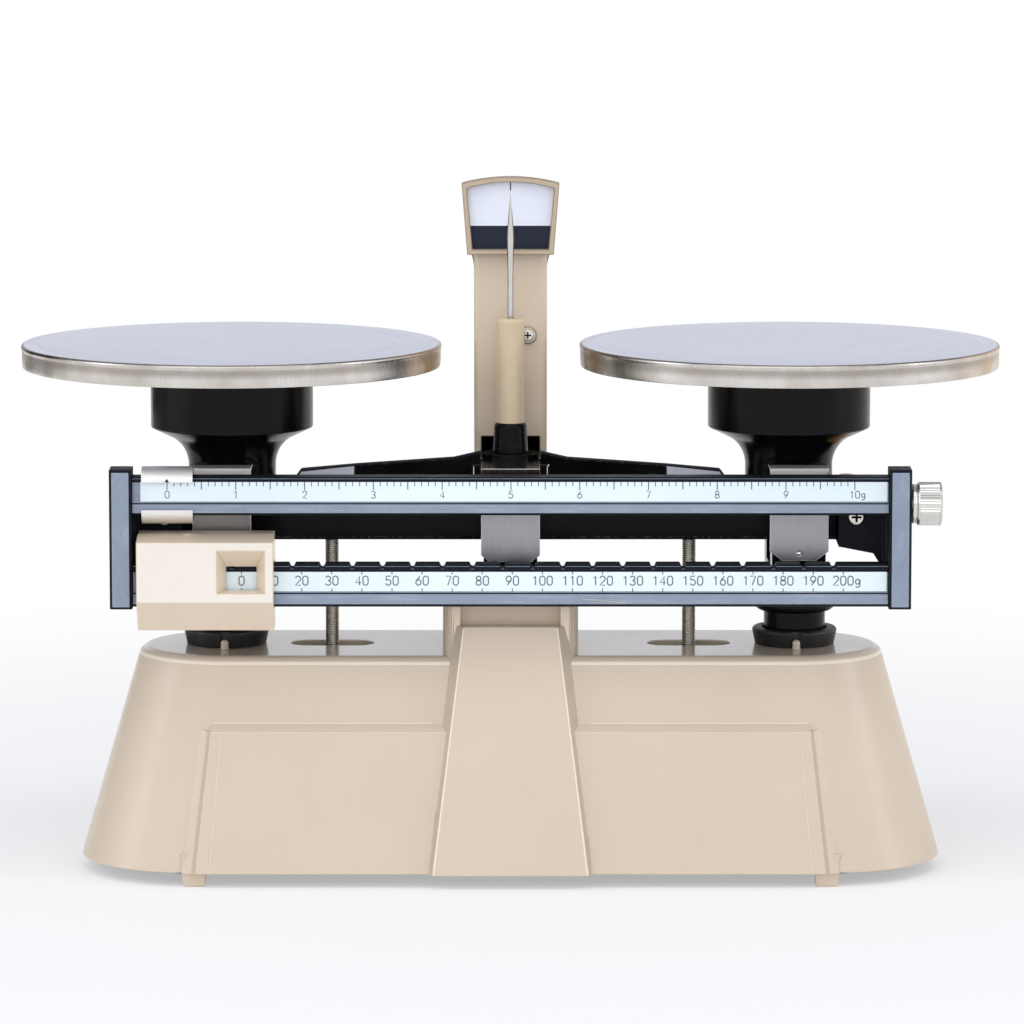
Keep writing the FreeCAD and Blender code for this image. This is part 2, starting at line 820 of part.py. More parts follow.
def base_housing():
    body = new_body("housing")
    foot = stadium(d.baseLength / 2, d.baseDepth / 2)
    sections = [draw(body, "foot_outline", "XY", [foot], (0, 0, d.shellBottom))]
    for number in range(DECK_ROUND_STEPS + 1):
        angle = as_size(90) * number / DECK_ROUND_STEPS
        height = d.deckHeight - d.deckRound * (1 - sine(angle))
        inset = d.deckRound * (1 - cosine(angle))
        outline = stadium(shell_end(height) - inset, shell_front(height) - inset)
        sections.append(draw(body, f"deck_outline_{number}", "XY", [outline], (0, 0, height)))
    loft(body, "outer_form", sections)

    sections = []
    bevel_foot = d.panelTop - d.panelBevel
    slope_in = (d.panelHalfFoot - d.panelHalfTop) / (d.panelTop - d.shellBottom)
    for number, (height, proud) in enumerate(((d.shellBottom, d.panelProud), (bevel_foot, d.panelProud),
                                              (d.panelTop, -d.panelProud / 4))):
        half = d.panelHalfFoot - (height - d.shellBottom) * slope_in
        reach = shell_front(height) + proud
        sections.append(draw(body, f"panel_outline_{number}", "XY", [rectangle(-half, half, -reach, reach)],
                             (0, 0, height)))
    loft(body, "raised_panels", sections)

    sections = []
    for name, height, half, root, reach, flank in (
            ("foot", d.shellBottom, d.buttressHalfFoot, d.buttressRootFoot, d.buttressReachFoot,
             d.buttressFlankFoot),
            ("top", d.buttressTop, d.buttressHalfTop, d.buttressRootTop, d.buttressReachTop,
             d.buttressFlankTop)):
        outline = [(-half, -reach), (half, -reach), (root, flank - reach), (root, reach - flank),
                   (half, reach), (-half, reach), (-root, reach - flank), (-root, flank - reach)]
        sections.append(draw(body, f"buttress_{name}", "XY", [outline], (0, 0, height)))
    loft(body, "buttress", sections)

    pedestal = rounded(d.pedestalHalfWidth, d.pedestalHalfDepth, d.pedestalRound)
    add(body, "pedestal", "XY", [pedestal], d.deckUnder, d.pedestalTop)
    dress(body, "pedestal_edge", "Fillet", d.pedestalEdge,
          lambda edge: edge.BoundBox.ZMin > d.pedestalTop.value - 0.01)
    ledge = rectangle(-d.ledgeHalfWidth, d.ledgeHalfWidth, d.buttressTop, d.pedestalTop + d.shellWall)
    for name, sign in (("front", -1), ("rear", 1)):
        cut(body, f"ledge_{name}", "XZ", [ledge], *mirrored_span(sign, d.ledgeDepth, d.buttressReachFoot))

    inner_foot = stadium(d.baseLength / 2 - d.shellWall, d.baseDepth / 2 - d.shellWall)
    inner_deck = stadium(d.deckLength / 2 - d.shellWall, d.deckDepth / 2 - d.shellWall)
    low = draw(body, "cavity_foot", "XY", [inner_foot], (0, 0, d.shellBottom))
    high = draw(body, "cavity_deck", "XY", [inner_deck], (0, 0, d.deckUnder))
    loft(body, "cavity", [low, high], "SubtractiveLoft")

    for number, (x_sign, y_sign) in enumerate(((-1, -1), (1, -1), (-1, 1), (1, 1))):
        spot_x, spot_y = x_sign * d.footReach, y_sign * d.footSpread
        pads = []
        for name, height, width, depth in (("sole", as_size(0), d.footWidthBottom, d.footDepthBottom),
                                           ("root", d.footTop, d.footWidthTop, d.footDepthTop)):
            outline = rectangle(spot_x - width / 2, spot_x + width / 2,
                                spot_y - depth / 2, spot_y + depth / 2)
            pads.append(draw(body, f"foot_{name}_{number}", "XY", [outline], (0, 0, height)))
        loft(body, f"foot_{number}", pads)

    posts = [Ring(side * d.postReach, 0, d.postDiameter / 2) for side in (-1, 1)]
    add(body, "posts", "XY", posts, d.plateTop, d.deckUnder + d.shellWall / 2)
    for side in (-1, 1):
        screw_hole(body, f"post_hole_{side + 1}", "Z", (side * d.postReach, 0), d.plateTop, 1, FRAME_SCREW)

    openings = [stadium(d.slotLength / 2, d.slotWidth / 2, side * d.rodReach) for side in (-1, 1)]
    openings += [Ring(side * d.armReach, 0, d.stemHole / 2) for side in (-1, 1)]
    cut(body, "deck_openings", "XY", openings, d.deckUnder - d.shellWall, d.deckHeight + d.shellWall)
    for side in (-1, 1):
        revolve(body, f"peg_{side + 1}", "Z", (side * d.armReach, -d.pegReach),
                [(d.deckHeight - d.shellWall / 2, 0), (d.deckHeight - d.shellWall / 2, d.pegDiameter / 2),
                 (d.deckHeight + d.pegHeight - d.pegDiameter / 2, d.pegDiameter / 2),
                 Arc(d.deckHeight + d.pegHeight - d.pegDiameter / 2, 0, -1),
                 (d.deckHeight + d.pegHeight, 0)])
    for number, (x_sign, y_sign) in enumerate(((-1, -1), (1, -1), (-1, 1), (1, 1))):
        screw_hole(body, f"stand_hole_{number}", "Z", (x_sign * d.standScrewX, y_sign * d.standScrewY),
                   d.standFootTop, -1, FRAME_SCREW)
    for side in (-1, 1):
        screw_hole(body, f"bracket_hole_{side + 1}", "Z", (side * d.bracketScrewX, 0),
                   d.deckUnder - d.bracketSheet, 1, FRAME_SCREW)
    return node(body, "base_housing")


def bottom_plate():
    body = new_body("bottom_sheet")
    inset = d.shellWall + d.freeGap + d.bottomSheet * end_slope
    outline = stadium(d.baseLength / 2 - inset, d.baseDepth / 2 - inset)
    holes = [Ring(side * d.postReach, 0, d.screwShank / 2 + d.screwHoleGap) for side in (-1, 1)]
    add(body, "bottom_outline", "XY", [outline] + holes, d.shellBottom, d.plateTop)
    for number, (x_sign, y_sign) in enumerate(((-1, -1), (1, -1), (-1, 1), (1, 1))):
        corner_x, corner_y = x_sign * d.footReach, y_sign * d.footSpread
        half_x, half_y = d.footWidthTop / 2 + d.freeGap, d.footDepthTop / 2 + d.freeGap
        cut(body, f"foot_clearance_{number}", "XY",
            [rectangle(corner_x - half_x, corner_x + half_x, corner_y - half_y, corner_y + half_y)],
            d.shellBottom, d.plateTop)
    node(body, "bottom_plate")
    group("bottom_screws", [screw(f"bottom_screw_{side + 1}", "Z", (side * d.postReach, 0), d.shellBottom, 1,
                                  FRAME_SCREW) for side in (-1, 1)])


def stem_collar(side, label):
    body = new_body(label + "_ring")
    bore, lip = d.collarBore / 2, d.collarLip
    revolve(body, label + "_turning", "Z", (side * d.armReach, 0),
            [(d.deckHeight, bore), (d.deckHeight, d.collarFoot / 2), (d.collarRim - lip, d.collarTop / 2),
             (d.collarRim - lip / 2, d.collarTop / 2), (d.collarRim, d.collarTop / 2 - lip / 2),
             (d.collarRim, bore)])
    cut(body, label + "_notch", "XY", [Ring(side * d.armReach, -d.pegReach, d.collarNotch / 2)],
        d.deckHeight, d.collarRim)
    node(body, label)


def knife_outline(x, sign, height, grow=0):
    # Wedge with a small round nose on the pivot line, pointing up for sign 1 and down for -1.
    nose = d.knifeNose + grow
    along, across = sine(d.knifeHalfAngle), cosine(d.knifeHalfAngle)
    touch = nose * along
    foot_half = nose * across + (height + touch) * along / across
    z = d.fulcrumHeight
    loop = [(x + nose * across, z + touch * sign), Arc(x, z, sign), (x - nose * across, z + touch * sign),
            (x - foot_half, z - height * sign), (x + foot_half, z - height * sign)]
    return loop


def groove_outline(x, sign, seat):
    # Bearing block whose vee holds the knife's nose with a running gap; seat is its flat end.
    nose = d.knifeNose + d.runningGap
    along, across = sine(d.grooveHalfAngle), cosine(d.grooveHalfAngle)
    half = d.bearingHalf
    z = d.fulcrumHeight
    tip = z + (nose * along - (half - nose * across) * across / along) * sign
    return [(x + nose * across, z + nose * along * sign), Arc(x, z, sign),
            (x - nose * across, z + nose * along * sign),
            (x - half, tip), (x - half, seat), (x + half, seat), (x + half, tip)]


def knives():
    body = new_body("middle_knife")
    add(body, "middle_wedge", "XZ", [knife_outline(0, -1, d.fulcrumKnifeHeight)],
        -(d.standFront - d.knifeEndGap), d.standRear - d.knifeEndGap)
    node(body, "fulcrum_knife")
    for side, label in ((-1, "left_knife"), (1, "right_knife")):
        body = new_body(label + "_bar")
        wedge = knife_outline(side * d.armReach, 1, d.knifeHeight)
        add(body, label + "_wedge", "XZ", [wedge], -d.knifeEnd, d.knifeEnd)
        node(body, label)


def fulcrum_stand():
    body = new_body("stand")
    half = d.standWidth / 2
    add(body, "stand_foot", "XY", [rounded(d.standFootWidth / 2, d.standFootDepth / 2, d.standFootHeight)],
        d.pedestalTop, d.standFootTop)
    block = rectangle(-half, half, d.pedestalTop, d.standBlockTop)
    add(body, "stand_block", "XZ", [block], -d.standFront, d.standRear)
    seat = d.bearingSeat
    upright = [(-half, d.standBlockTop), (half, d.standBlockTop), (half, d.standTop),
               (d.bearingHalf, d.standTop), (d.bearingHalf, seat), (-d.bearingHalf, seat),
               (-d.bearingHalf, d.standTop), (-half, d.standTop)]
    add(body, "front_upright", "XZ", [upright], -d.standFront, -d.standInner)
    add(body, "rear_upright", "XZ", [upright], d.standInner, d.standRear)
    for number, (x_sign, y_sign) in enumerate(((-1, -1), (1, -1), (-1, 1), (1, 1))):
        screw_hole(body, f"foot_hole_{number}", "Z", (x_sign * d.standScrewX, y_sign * d.standScrewY),
                   d.standFootTop, -1, FRAME_SCREW)
    for number, height in enumerate((d.towerScrewLow, d.towerScrewHigh)):
        screw_hole(body, f"tower_hole_{number}", "Y", (0, height), d.towerBack, -1, FRAME_SCREW)
    node(body, "fulcrum_stand")

    group("stand_screws", [screw(f"stand_screw_{number}", "Z",
                                 (x_sign * d.standScrewX, y_sign * d.standScrewY),
                                 d.standFootTop, -1, FRAME_SCREW)
                           for number, (x_sign, y_sign) in enumerate(((-1, -1), (1, -1), (-1, 1), (1, 1)))])
    blocks = []
    for name, low, high in (("front", -d.standFront, -d.standInner), ("rear", d.standInner, d.standRear)):
        block = new_body(f"fulcrum_bearing_{name}")
        add(block, f"fulcrum_vee_{name}", "XZ", [groove_outline(0, -1, seat)], low, high)
        blocks.append(block)
    group("fulcrum_bearings", blocks)


def pointer_tower():
    body = new_body("tower")
    half, wall = d.towerWidth / 2, d.towerWall
    middle = (d.towerFront + d.towerBack) / 2
    deep = (d.towerBack - d.towerFront) / 2
    add(body, "tower_box", "XY", [rounded(half, deep, d.towerEdge, 0, middle)], d.towerBottom, d.towerTop)
    # the sides sweep out below the dial
    wide, low = half + d.towerFlare, d.dialBottom - d.towerFlareHeight
    sweep = (d.towerFlare * d.towerFlare + d.towerFlareHeight * d.towerFlareHeight) / (2 * d.towerFlare)
    head = [(half, low), Arc(half + sweep, low, -1), (wide, d.dialBottom), (wide, d.towerTop),
            (-wide, d.towerTop), (-wide, d.dialBottom), Arc(-half - sweep, low, -1), (-half, low)]
    add(body, "tower_head", "XZ", [head], d.towerFront + d.towerEdge, d.towerBack - d.towerEdge)
    hollow = rectangle(wall - half, half - wall, d.towerFront + wall, d.towerBack - wall)
    cut(body, "tower_hollow", "XY", [hollow], d.towerBottom, d.towerTop - wall)
    gate = rectangle(-d.towerGateHalf, d.towerGateHalf, d.towerBottom, d.towerGateTop)
    cut(body, "tower_gate", "XZ", [gate], d.towerFront, d.towerFront + wall)
    tongue = rectangle(-d.tongueWidth / 2, d.tongueWidth / 2, d.standFootTop, d.towerBottom + wall)
    add(body, "tongue", "XZ", [tongue], d.standRear, d.towerBack)
    add(body, "screw_boss", "XZ", [Ring(d.panelScrewReach, d.panelScrewHeight, d.panelScrewBoss / 2)],
        d.towerFront - d.panelScrewBossHeight, d.towerFront + wall / 2)
    screw_hole(body, "panel_hole", "Y", (d.panelScrewReach, d.panelScrewHeight),
               d.towerFront - d.panelScrewBossHeight, 1, PANEL_SCREW)
    for number, height in enumerate((d.towerScrewLow, d.towerScrewHigh)):
        screw_hole(body, f"tongue_hole_{number}", "Y", (0, height), d.towerBack, -1, FRAME_SCREW)
    node(body, "pointer_tower")
    group("tower_screws", [screw(f"tower_screw_{number}", "Y", (0, height), d.towerBack, -1, FRAME_SCREW)
                           for number, height in enumerate((d.towerScrewLow, d.towerScrewHigh))])
    node(screw("panel_screw_part", "Y", (d.panelScrewReach, d.panelScrewHeight),
               d.towerFront - d.panelScrewBossHeight, 1, PANEL_SCREW), "panel_screw")


def dial_outline(inset, bottom):
    top, low = d.dialHalfTop - inset, d.dialHalfBottom - inset
    shoulder, rise = d.dialShoulder - inset, d.dialPeak - d.dialShoulder
    radius = (top * top + rise * rise) / (2 * rise)
    return [(-low, bottom), (low, bottom), (top, shoulder), Arc(0, shoulder + rise - radius, 1),
            (-top, shoulder)]


def dial():
    body = new_body("dial_tray")
    add(body, "dial_outer", "XZ", [dial_outline(as_size(0), d.dialBottom)], d.dialFront, d.towerFront)
    floor = d.towerFront - d.dialBack
    opening = dial_outline(d.dialRim, d.dialBottom + d.dialRim)
    cut(body, "dial_opening", "XZ", [opening], d.dialFront, floor)
    node(body, "dial_frame")
    body = new_body("dial_card")
    add(body, "dial_card_outline", "XZ", [opening], floor - d.dialPlateThickness, floor)
    node(body, "dial_plate")


def main_beam():
    body = new_body("beam_casting")
    right = [(d.beamEnd, d.beamBottom), (d.beamEnd, d.beamEndTop), (d.beamNeck, d.beamEndTop),
             (d.wingRootReach, d.wingRootTop), (d.wingMidReach, d.wingMidTop), (d.wingTipReach, d.wingTipTop),
             (d.notchHalf, d.wingPeak), (d.notchHalf, d.notchFloor)]
    left = [(-x, z) for x, z in reversed(right)]
    add(body, "beam_outline", "XZ", [right + left], -d.halfBeam, d.halfBeam)
    web, over = d.wingHalfWeb, d.wingPeak + d.beamRib
    flanks = []
    for sign in (-1, 1):
        flanks.append([(sign * d.halfBeam, d.beamEndTop), (sign * web, d.wingMidTop), (sign * web, over),
                       (sign * d.halfBeam, over)])
    pockets = []
    for side in (-1, 1):
        span = mirrored_span(side, d.notchHalf, d.beamNeck)
        cut(body, f"wing_flanks_{side + 1}", "YZ", flanks, *span)
        pockets.append(rectangle(*mirrored_span(side, d.wingPocketEnd, d.wingMidReach), d.beamEndTop, over))
    for name, sign in (("front", -1), ("rear", 1)):
        cut(body, f"wing_pockets_{name}", "XZ", pockets, *mirrored_span(sign, web, d.halfBeam))
    dress(body, "beam_edge", "Chamfer", d.beamEdge,
          lambda edge: edge.BoundBox.YLength < 0.01 and edge.BoundBox.ZMax < d.beamBottom.value + 0.01)
    wall = d.halfBeam - d.beamRib
    pockets = []
    for side in (-1, 1):
        for low, high in ((d.beamHubHalf, d.rodReach - d.rodBossHalf),
                          (d.rodReach + d.rodBossHalf, d.armReach - d.beamHubHalf)):
            pockets.append(rectangle(*mirrored_span(side, low, high), -wall, wall))
    cut(body, "beam_pockets", "XY", pockets, d.beamBottom, d.beamPocketTop)
    add(body, "beam_boss", "XY", [Ring(0, 0, d.bossDiameter / 2)], d.notchFloor - d.beamRib, d.bossTop)
    rods = [Ring(side * d.rodReach, 0, d.rodDiameter / 2 + d.screwHoleGap) for side in (-1, 1)]
    cut(body, "rod_holes", "XY", rods, d.beamBottom, d.beamBottom + d.rodDepth + d.freeGap)
    seats = [knife_outline(0, -1, d.fulcrumKnifeHeight + d.knifeSeat, d.knifeSeat)]
    seats += [knife_outline(side * d.armReach, 1, d.knifeHeight + d.knifeSeat, d.knifeSeat)
              for side in (-1, 1)]
    cut(body, "knife_seats", "XZ", seats, -d.halfBeam, d.halfBeam)
    for side in (-1, 1):
        screw_hole(body, f"arm_hole_{side + 1}", "Y", (side * d.armScrewReach, d.armScrewHeight),
                   -d.lugFront, 1, ARM_SCREW)
    node(body, "main_beam")


def fulcrum_cover():
    body = new_body("fulcrum_clip")
    half, flat, corner = d.coverWidth / 2, d.fulcrumCoverFlat / 2, d.fulcrumCornerHeight
    front = [(-flat, d.fulcrumCoverBottom), (flat, d.fulcrumCoverBottom),
             (half, d.fulcrumCoverBottom + corner),
             (half, d.notchFloor + d.coverSheet), (-half, d.notchFloor + d.coverSheet),
             (-half, d.fulcrumCoverBottom + corner)]
    add(body, "fulcrum_front", "XZ", [front], -d.coverOuter, -d.yokeHalfDepth)
    scoop = d.bossDiameter / 2 + d.freeGap
    reach = d.hornReach
    horn = scoop * cosine(Size(math.degrees(math.asin(reach.value / scoop.value)),
                               f"asin({reach.formula} / {scoop.formula}) / 1deg"))
    flange = [(-half, -d.coverOuter), (half, -d.coverOuter), (half, -reach), (horn, -reach), Arc(0, 0, -1),
              (-horn, -reach), (-half, -reach)]
    add(body, "fulcrum_flange", "XY", [flange], d.notchFloor, d.notchFloor + d.coverSheet)
    node(body, "fulcrum_cover")


def end_bracket(side, label):
    body = new_body(label + "_casting")
    add(body, label + "_cap", "YZ", [rectangle(-d.capFront, -d.capBack, d.capBottom, d.capTop)],
        *mirrored_span(side, d.capInner, d.capOuter))
    dress(body, label + "_edges", "Chamfer", d.capEdge,
          lambda edge: edge.BoundBox.YMax < -d.capFront.value + 0.01)
    arm = rectangle(side * d.armInner, side * d.capOuter, d.armBottom, d.armTop)
    add(body, label + "_arm", "XZ", [arm], -d.capBack, -d.halfBeam)
    lug = [(side * d.lugInner, d.lugBottom), (side * d.lugKnee, d.lugKneeBottom),
           (side * d.armInner, d.armBottom), (side * d.armInner, d.armTop), (side * d.lugInner, d.armTop)]
    add(body, label + "_lug", "XZ", [lug], -d.lugFront, -d.halfBeam)
    screw_hole(body, label + "_arm_hole", "Y", (side * d.armScrewReach, d.armScrewHeight), -d.lugFront, 1,
                   ARM_SCREW)
    heights = [(d.lowerRailTop + d.lowerRailBottom) / 2, (d.upperRailTop + d.upperRailBottom) / 2]
    if side > 0:
        stud = Ring(d.railMid, d.zeroHeight, d.studDiameter / 2 + d.screwHoleGap)
        cut(body, label + "_stud_hole", "YZ", [stud], d.capInner, d.capOuter)
        heights = heights[:1]
    for number, height in enumerate(heights):
        screw_hole(body, f"{label}_rail_hole_{number}", "X", (d.railMid, height), side * d.capOuter, -side,
                   RAIL_SCREW)
    return node(body, label), heights


def brackets():
    rail_screws = []
    for side, label in ((-1, "left_end_bracket"), (1, "right_end_bracket")):
        _, heights = end_bracket(side, label)
        for number, height in enumerate(heights):
            rail_screws.append(screw(f"{label}_rail_screw_{number}", "X", (d.railMid, height),
                                     side * d.capOuter, -side, RAIL_SCREW))
    group("rail_screws", rail_screws)
    group("arm_screws", [screw(f"arm_screw_{side + 1}", "Y", (side * d.armScrewReach, d.armScrewHeight),
                               -d.lugFront, 1, ARM_SCREW) for side in (-1, 1)])


def rail_outline(bottom, top, scale_bottom, scale_top):
    face, lip, edge, rebate = d.railFace, d.railLip, d.railEdge, d.railRebate
    return [(-d.railBack, bottom), (lip + edge - face, bottom), (-face - lip, bottom + edge * 1.5),
            (-face, scale_bottom), (rebate - face, scale_bottom), (rebate - face, scale_top),
            (-face, scale_top), (-face - lip, top - edge), (edge - face - lip, top), (-d.railBack, top)]


def rails():
    upper = new_body("upper_bar")
    section = rail_outline(d.upperRailBottom, d.upperRailTop, d.upperScaleBottom, d.upperScaleTop)
    add(upper, "upper_section", "YZ", [section], -d.capInner, d.capInner)
    cut(upper, "upper_stud_hole", "YZ", [Ring(d.railMid, d.zeroHeight, d.studDiameter / 2 + d.screwHoleGap)],
        d.capInner - d.studDepth - d.freeGap, d.capInner)
    upper_middle = (d.upperRailTop + d.upperRailBottom) / 2
    lower_middle = (d.lowerRailTop + d.lowerRailBottom) / 2
    node(upper, "upper_rail")

    lower = new_body("lower_bar")
    section = rail_outline(d.lowerRailBottom, d.lowerRailTop, d.lowerScaleBottom, d.lowerScaleTop)
    add(lower, "lower_section", "YZ", [section], -d.capInner, d.capInner)
    for side in (-1, 1):
        screw_hole(lower, f"lower_end_hole_{side + 1}", "X", (d.railMid, lower_middle),
                   side * d.capOuter, -side, RAIL_SCREW)
    screw_hole(upper, "upper_end_hole", "X", (d.railMid, upper_middle), -d.capOuter, 1, RAIL_SCREW)
    wide, narrow = d.notchWide / 2, d.notchNarrow / 2
    over = d.railEdge
    notch = [(d.notchStart - narrow, d.lowerRailTop - d.notchDepth),
             (d.notchStart + narrow, d.lowerRailTop - d.notchDepth),
             (d.notchStart + wide, d.lowerRailTop), (d.notchStart + wide, d.lowerRailTop + over),
             (d.notchStart - wide, d.lowerRailTop + over), (d.notchStart - wide, d.lowerRailTop)]
    first = cut(lower, "first_notch", "XZ", [notch], -d.poiseFront, -d.poiseBack)
    pattern = lower.newObject("PartDesign::LinearPattern", "notches")
    pattern.Originals = [first]
    along = [item for item in lower.Origin.OriginFeatures if item.Role == "X_Axis"][0]
    pattern.Direction = (along, [""])
    bind(pattern, "Occurrences", d.notchCount)
    bind(pattern, "Length", d.notchPitch * (d.notchCount - 1))
    lower.Tip = pattern
    node(lower, "lower_rail")

    ends = (d.scaleLeftGap - d.capInner, d.capInner - d.scaleRightGap)
    front = d.railFace - d.railRebate
    for label, low, high in (("upper_scale", d.upperScaleBottom, d.upperScaleTop),
                             ("lower_scale", d.lowerScaleBottom, d.lowerScaleTop)):
        node(box(label + "_sheet", ends, (-front - d.scaleThickness, -front), (low, high)), label)


def zero_nut():
    body = new_body("stud")
    tip = d.knobStart + d.studReach - d.knobEnd
    revolve(body, "stud_turning", "X", (d.railMid, d.zeroHeight),
            [(d.capInner - d.studDepth, 0), (d.capInner - d.studDepth, d.studDiameter / 2),
             (tip, d.studDiameter / 2), (tip, 0)])
    node(body, "zero_stud")

    bore = d.studDiameter / 2 + d.runningGap
    body = new_body("ring")
    start = d.capOuter + d.freeGap
    revolve(body, "ring_turning", "X", (d.railMid, d.zeroHeight),
            [(start, bore), (start, d.ringDiameter / 2), (start + d.ringLength, d.ringDiameter / 2),
             (start + d.ringLength, bore)])
    node(body, "zero_ring")

    body = new_body("knob")
    end = d.knobStart + d.knobLength
    radius, edge = d.knobDiameter / 2, d.knobRound
    revolve(body, "knob_turning", "X", (d.railMid, d.zeroHeight),
            [(d.knobStart, bore), (d.knobStart, radius - edge / 2), (d.knobStart + edge / 2, radius),
             (end - edge, radius), Arc(end - edge, radius - edge, -1), (end, radius - edge), (end, 0),
             (end - d.knobEnd + edge, 0), (end - d.knobEnd + edge, bore)])
    node(body, "zero_knob")


def pointer():
    body = new_body("hub")
    top, foot, edge = d.hubDiameterTop / 2, d.hubDiameterFoot / 2, d.hubEdge
    revolve(body, "hub_turning", "Z", (0, 0),
            [(d.bossTop, 0), (d.bossTop, foot), (d.hubTop - edge, top), Arc(d.hubTop - edge, top - edge, -1),
             (d.hubTop, top - edge), (d.hubTop, 0)])
    node(body, "pointer_hub")
    body = new_body("sleeve")
    radius, edge, bore = d.sleeveDiameter / 2, d.sleeveEdge, d.needleDiameter / 2 + d.screwHoleGap
    seat = d.sleeveTop - d.needleSeat
    revolve(body, "sleeve_turning", "Z", (0, 0),
            [(d.hubTop, 0), (d.hubTop, radius), (d.sleeveTop - edge, radius), (d.sleeveTop, radius - edge),
             (d.sleeveTop, bore), (seat, bore), (seat, 0)])
    node(body, "pointer_sleeve")
    body = new_body("needle")
    half, wide = d.needleDiameter / 2, d.spearWidth / 2
    revolve(body, "needle_turning", "Z", (0, 0),
            [(seat, 0), (seat, half), (d.spearFoot, half), (d.spearWide, d.spearThickness / 2),
             (d.spearWide, 0)])
    spear = [(-half * 0.9, d.spearFoot), (half * 0.9, d.spearFoot), (wide, d.spearWide),
             (0, d.needleTip), (-wide, d.spearWide)]
    add(body, "needle_spear", "XZ", [spear], -d.spearThickness / 2, d.spearThickness / 2)
    node(body, "pointer_needle")


def stop_rods():
    rods, stops = [], []
    tail = d.washerTop - d.washerThickness - d.nutHeight - d.rodTail
    bore = d.rodDiameter / 2 + d.screwHoleGap
    half = d.nutAcrossFlats / 2
    corner = half * HEXAGON_CORNER / 2
    for side, name in ((-1, "left"), (1, "right")):
        x = side * d.rodReach
        body = new_body(f"{name}_rod")
        revolve(body, f"{name}_rod_turning", "Z", (x, 0),
                [(tail, 0), (tail, d.rodDiameter / 2), (d.beamBottom + d.rodDepth, d.rodDiameter / 2),
                 (d.beamBottom + d.rodDepth, 0)])
        rods.append(body)
        washer = new_body(f"{name}_washer")
        add(washer, f"{name}_washer_disc", "XY", [Ring(x, 0, d.washerDiameter / 2), Ring(x, 0, bore)],
            d.washerTop - d.washerThickness, d.washerTop)
        nut = new_body(f"{name}_nut")
        hexagon = [(x + corner * 2, 0), (x + corner, half), (x - corner, half), (x - corner * 2, 0),
                   (x - corner, -half), (x + corner, -half)]
        add(nut, f"{name}_nut_hexagon", "XY", [hexagon, Ring(x, 0, bore)],
            d.washerTop - d.washerThickness - d.nutHeight, d.washerTop - d.washerThickness)
        stops += [washer, nut]
    group("stop_rods", rods)
    group("stop_nuts", stops)


def counterweight():
    body = new_body("balance_slug")
    radius, edge = d.weightDiameter / 2, d.weightEdge
    end = d.halfBeam + d.weightLength
    revolve(body, "slug_turning", "Y", (d.weightReach, d.fulcrumHeight),
            [(d.halfBeam, 0), (d.halfBeam, radius), (end - edge, radius), (end, radius - edge), (end, 0)])
    node(body, "counterweight")


def pan_support(side, prefix):
    x = side * d.armReach
    half = d.yokeWidth / 2
    body = new_body(prefix + "_support_casting")
    outer, shoulder, neck = d.supportDiameter / 2, d.shoulderDiameter / 2, d.neckDiameter / 2
    bore = d.spigotDiameter / 2 + d.runningGap
    boss = bore + d.spigotWall
    floor = d.supportTop - d.cupDepth
    rise, flare = d.shoulderHeight - d.neckHeight, shoulder - neck
    sweep = (rise * rise + flare * flare) / (2 * flare)
    spigot_floor = d.supportTop - d.spigotLength - d.freeGap
    revolve(body, prefix + "_funnel", "Z", (side * d.panReach, 0),
            [(d.yokeBarBottom, 0), (d.yokeBarBottom, neck), (d.neckHeight, neck),
             Arc(d.neckHeight, neck + sweep, 1), (d.shoulderHeight, shoulder), (d.supportSkirt, outer),
             (d.supportTop, outer), (d.supportTop, outer - d.cupWall), (floor, outer - d.cupWall),
             (floor, boss), (d.supportTop, boss), (d.supportTop, bore), (spigot_floor, bore),
             (spigot_floor, 0)])
    depth, inner = d.yokeHalfDepth, d.yokeInner
    frame = rectangle(-depth, depth, d.yokeBottom, d.yokeTop)
    passage = rectangle(-inner, inner, d.yokeBridgeTop, d.yokeBarBottom)
    add(body, prefix + "_yoke", "YZ", [frame, passage], x - half, x + half)
    # The beam runs through the yoke, so the round neck ends level with the bar.
    window_top = d.fulcrumHeight + d.bearingBody
    window = rectangle(x - d.bearingHalf, x + d.bearingHalf, d.windowBottom, window_top)
    cut(body, prefix + "_knife_window", "XZ", [window], -depth, depth)
    for name, sign in (("front", -1), ("rear", 1)):
        low, high = mirrored_span(sign, depth - d.rivetLength, depth)
        cut(body, f"{prefix}_{name}_rivet_hole", "XZ",
            [Ring(x, d.rivetHeight, d.rivetShank / 2 + d.screwHoleGap)], low, high)
    node(body, prefix + "_pan_support")

    blocks = []
    for name, low, high in (("front", -depth, -inner), ("rear", inner, depth)):
        block = new_body(f"{prefix}_{name}_bearing")
        add(block, f"{prefix}_{name}_vee", "XZ", [groove_outline(x, 1, window_top)], low, high)
        blocks.append(block)
    group(prefix + "_bearings", blocks)


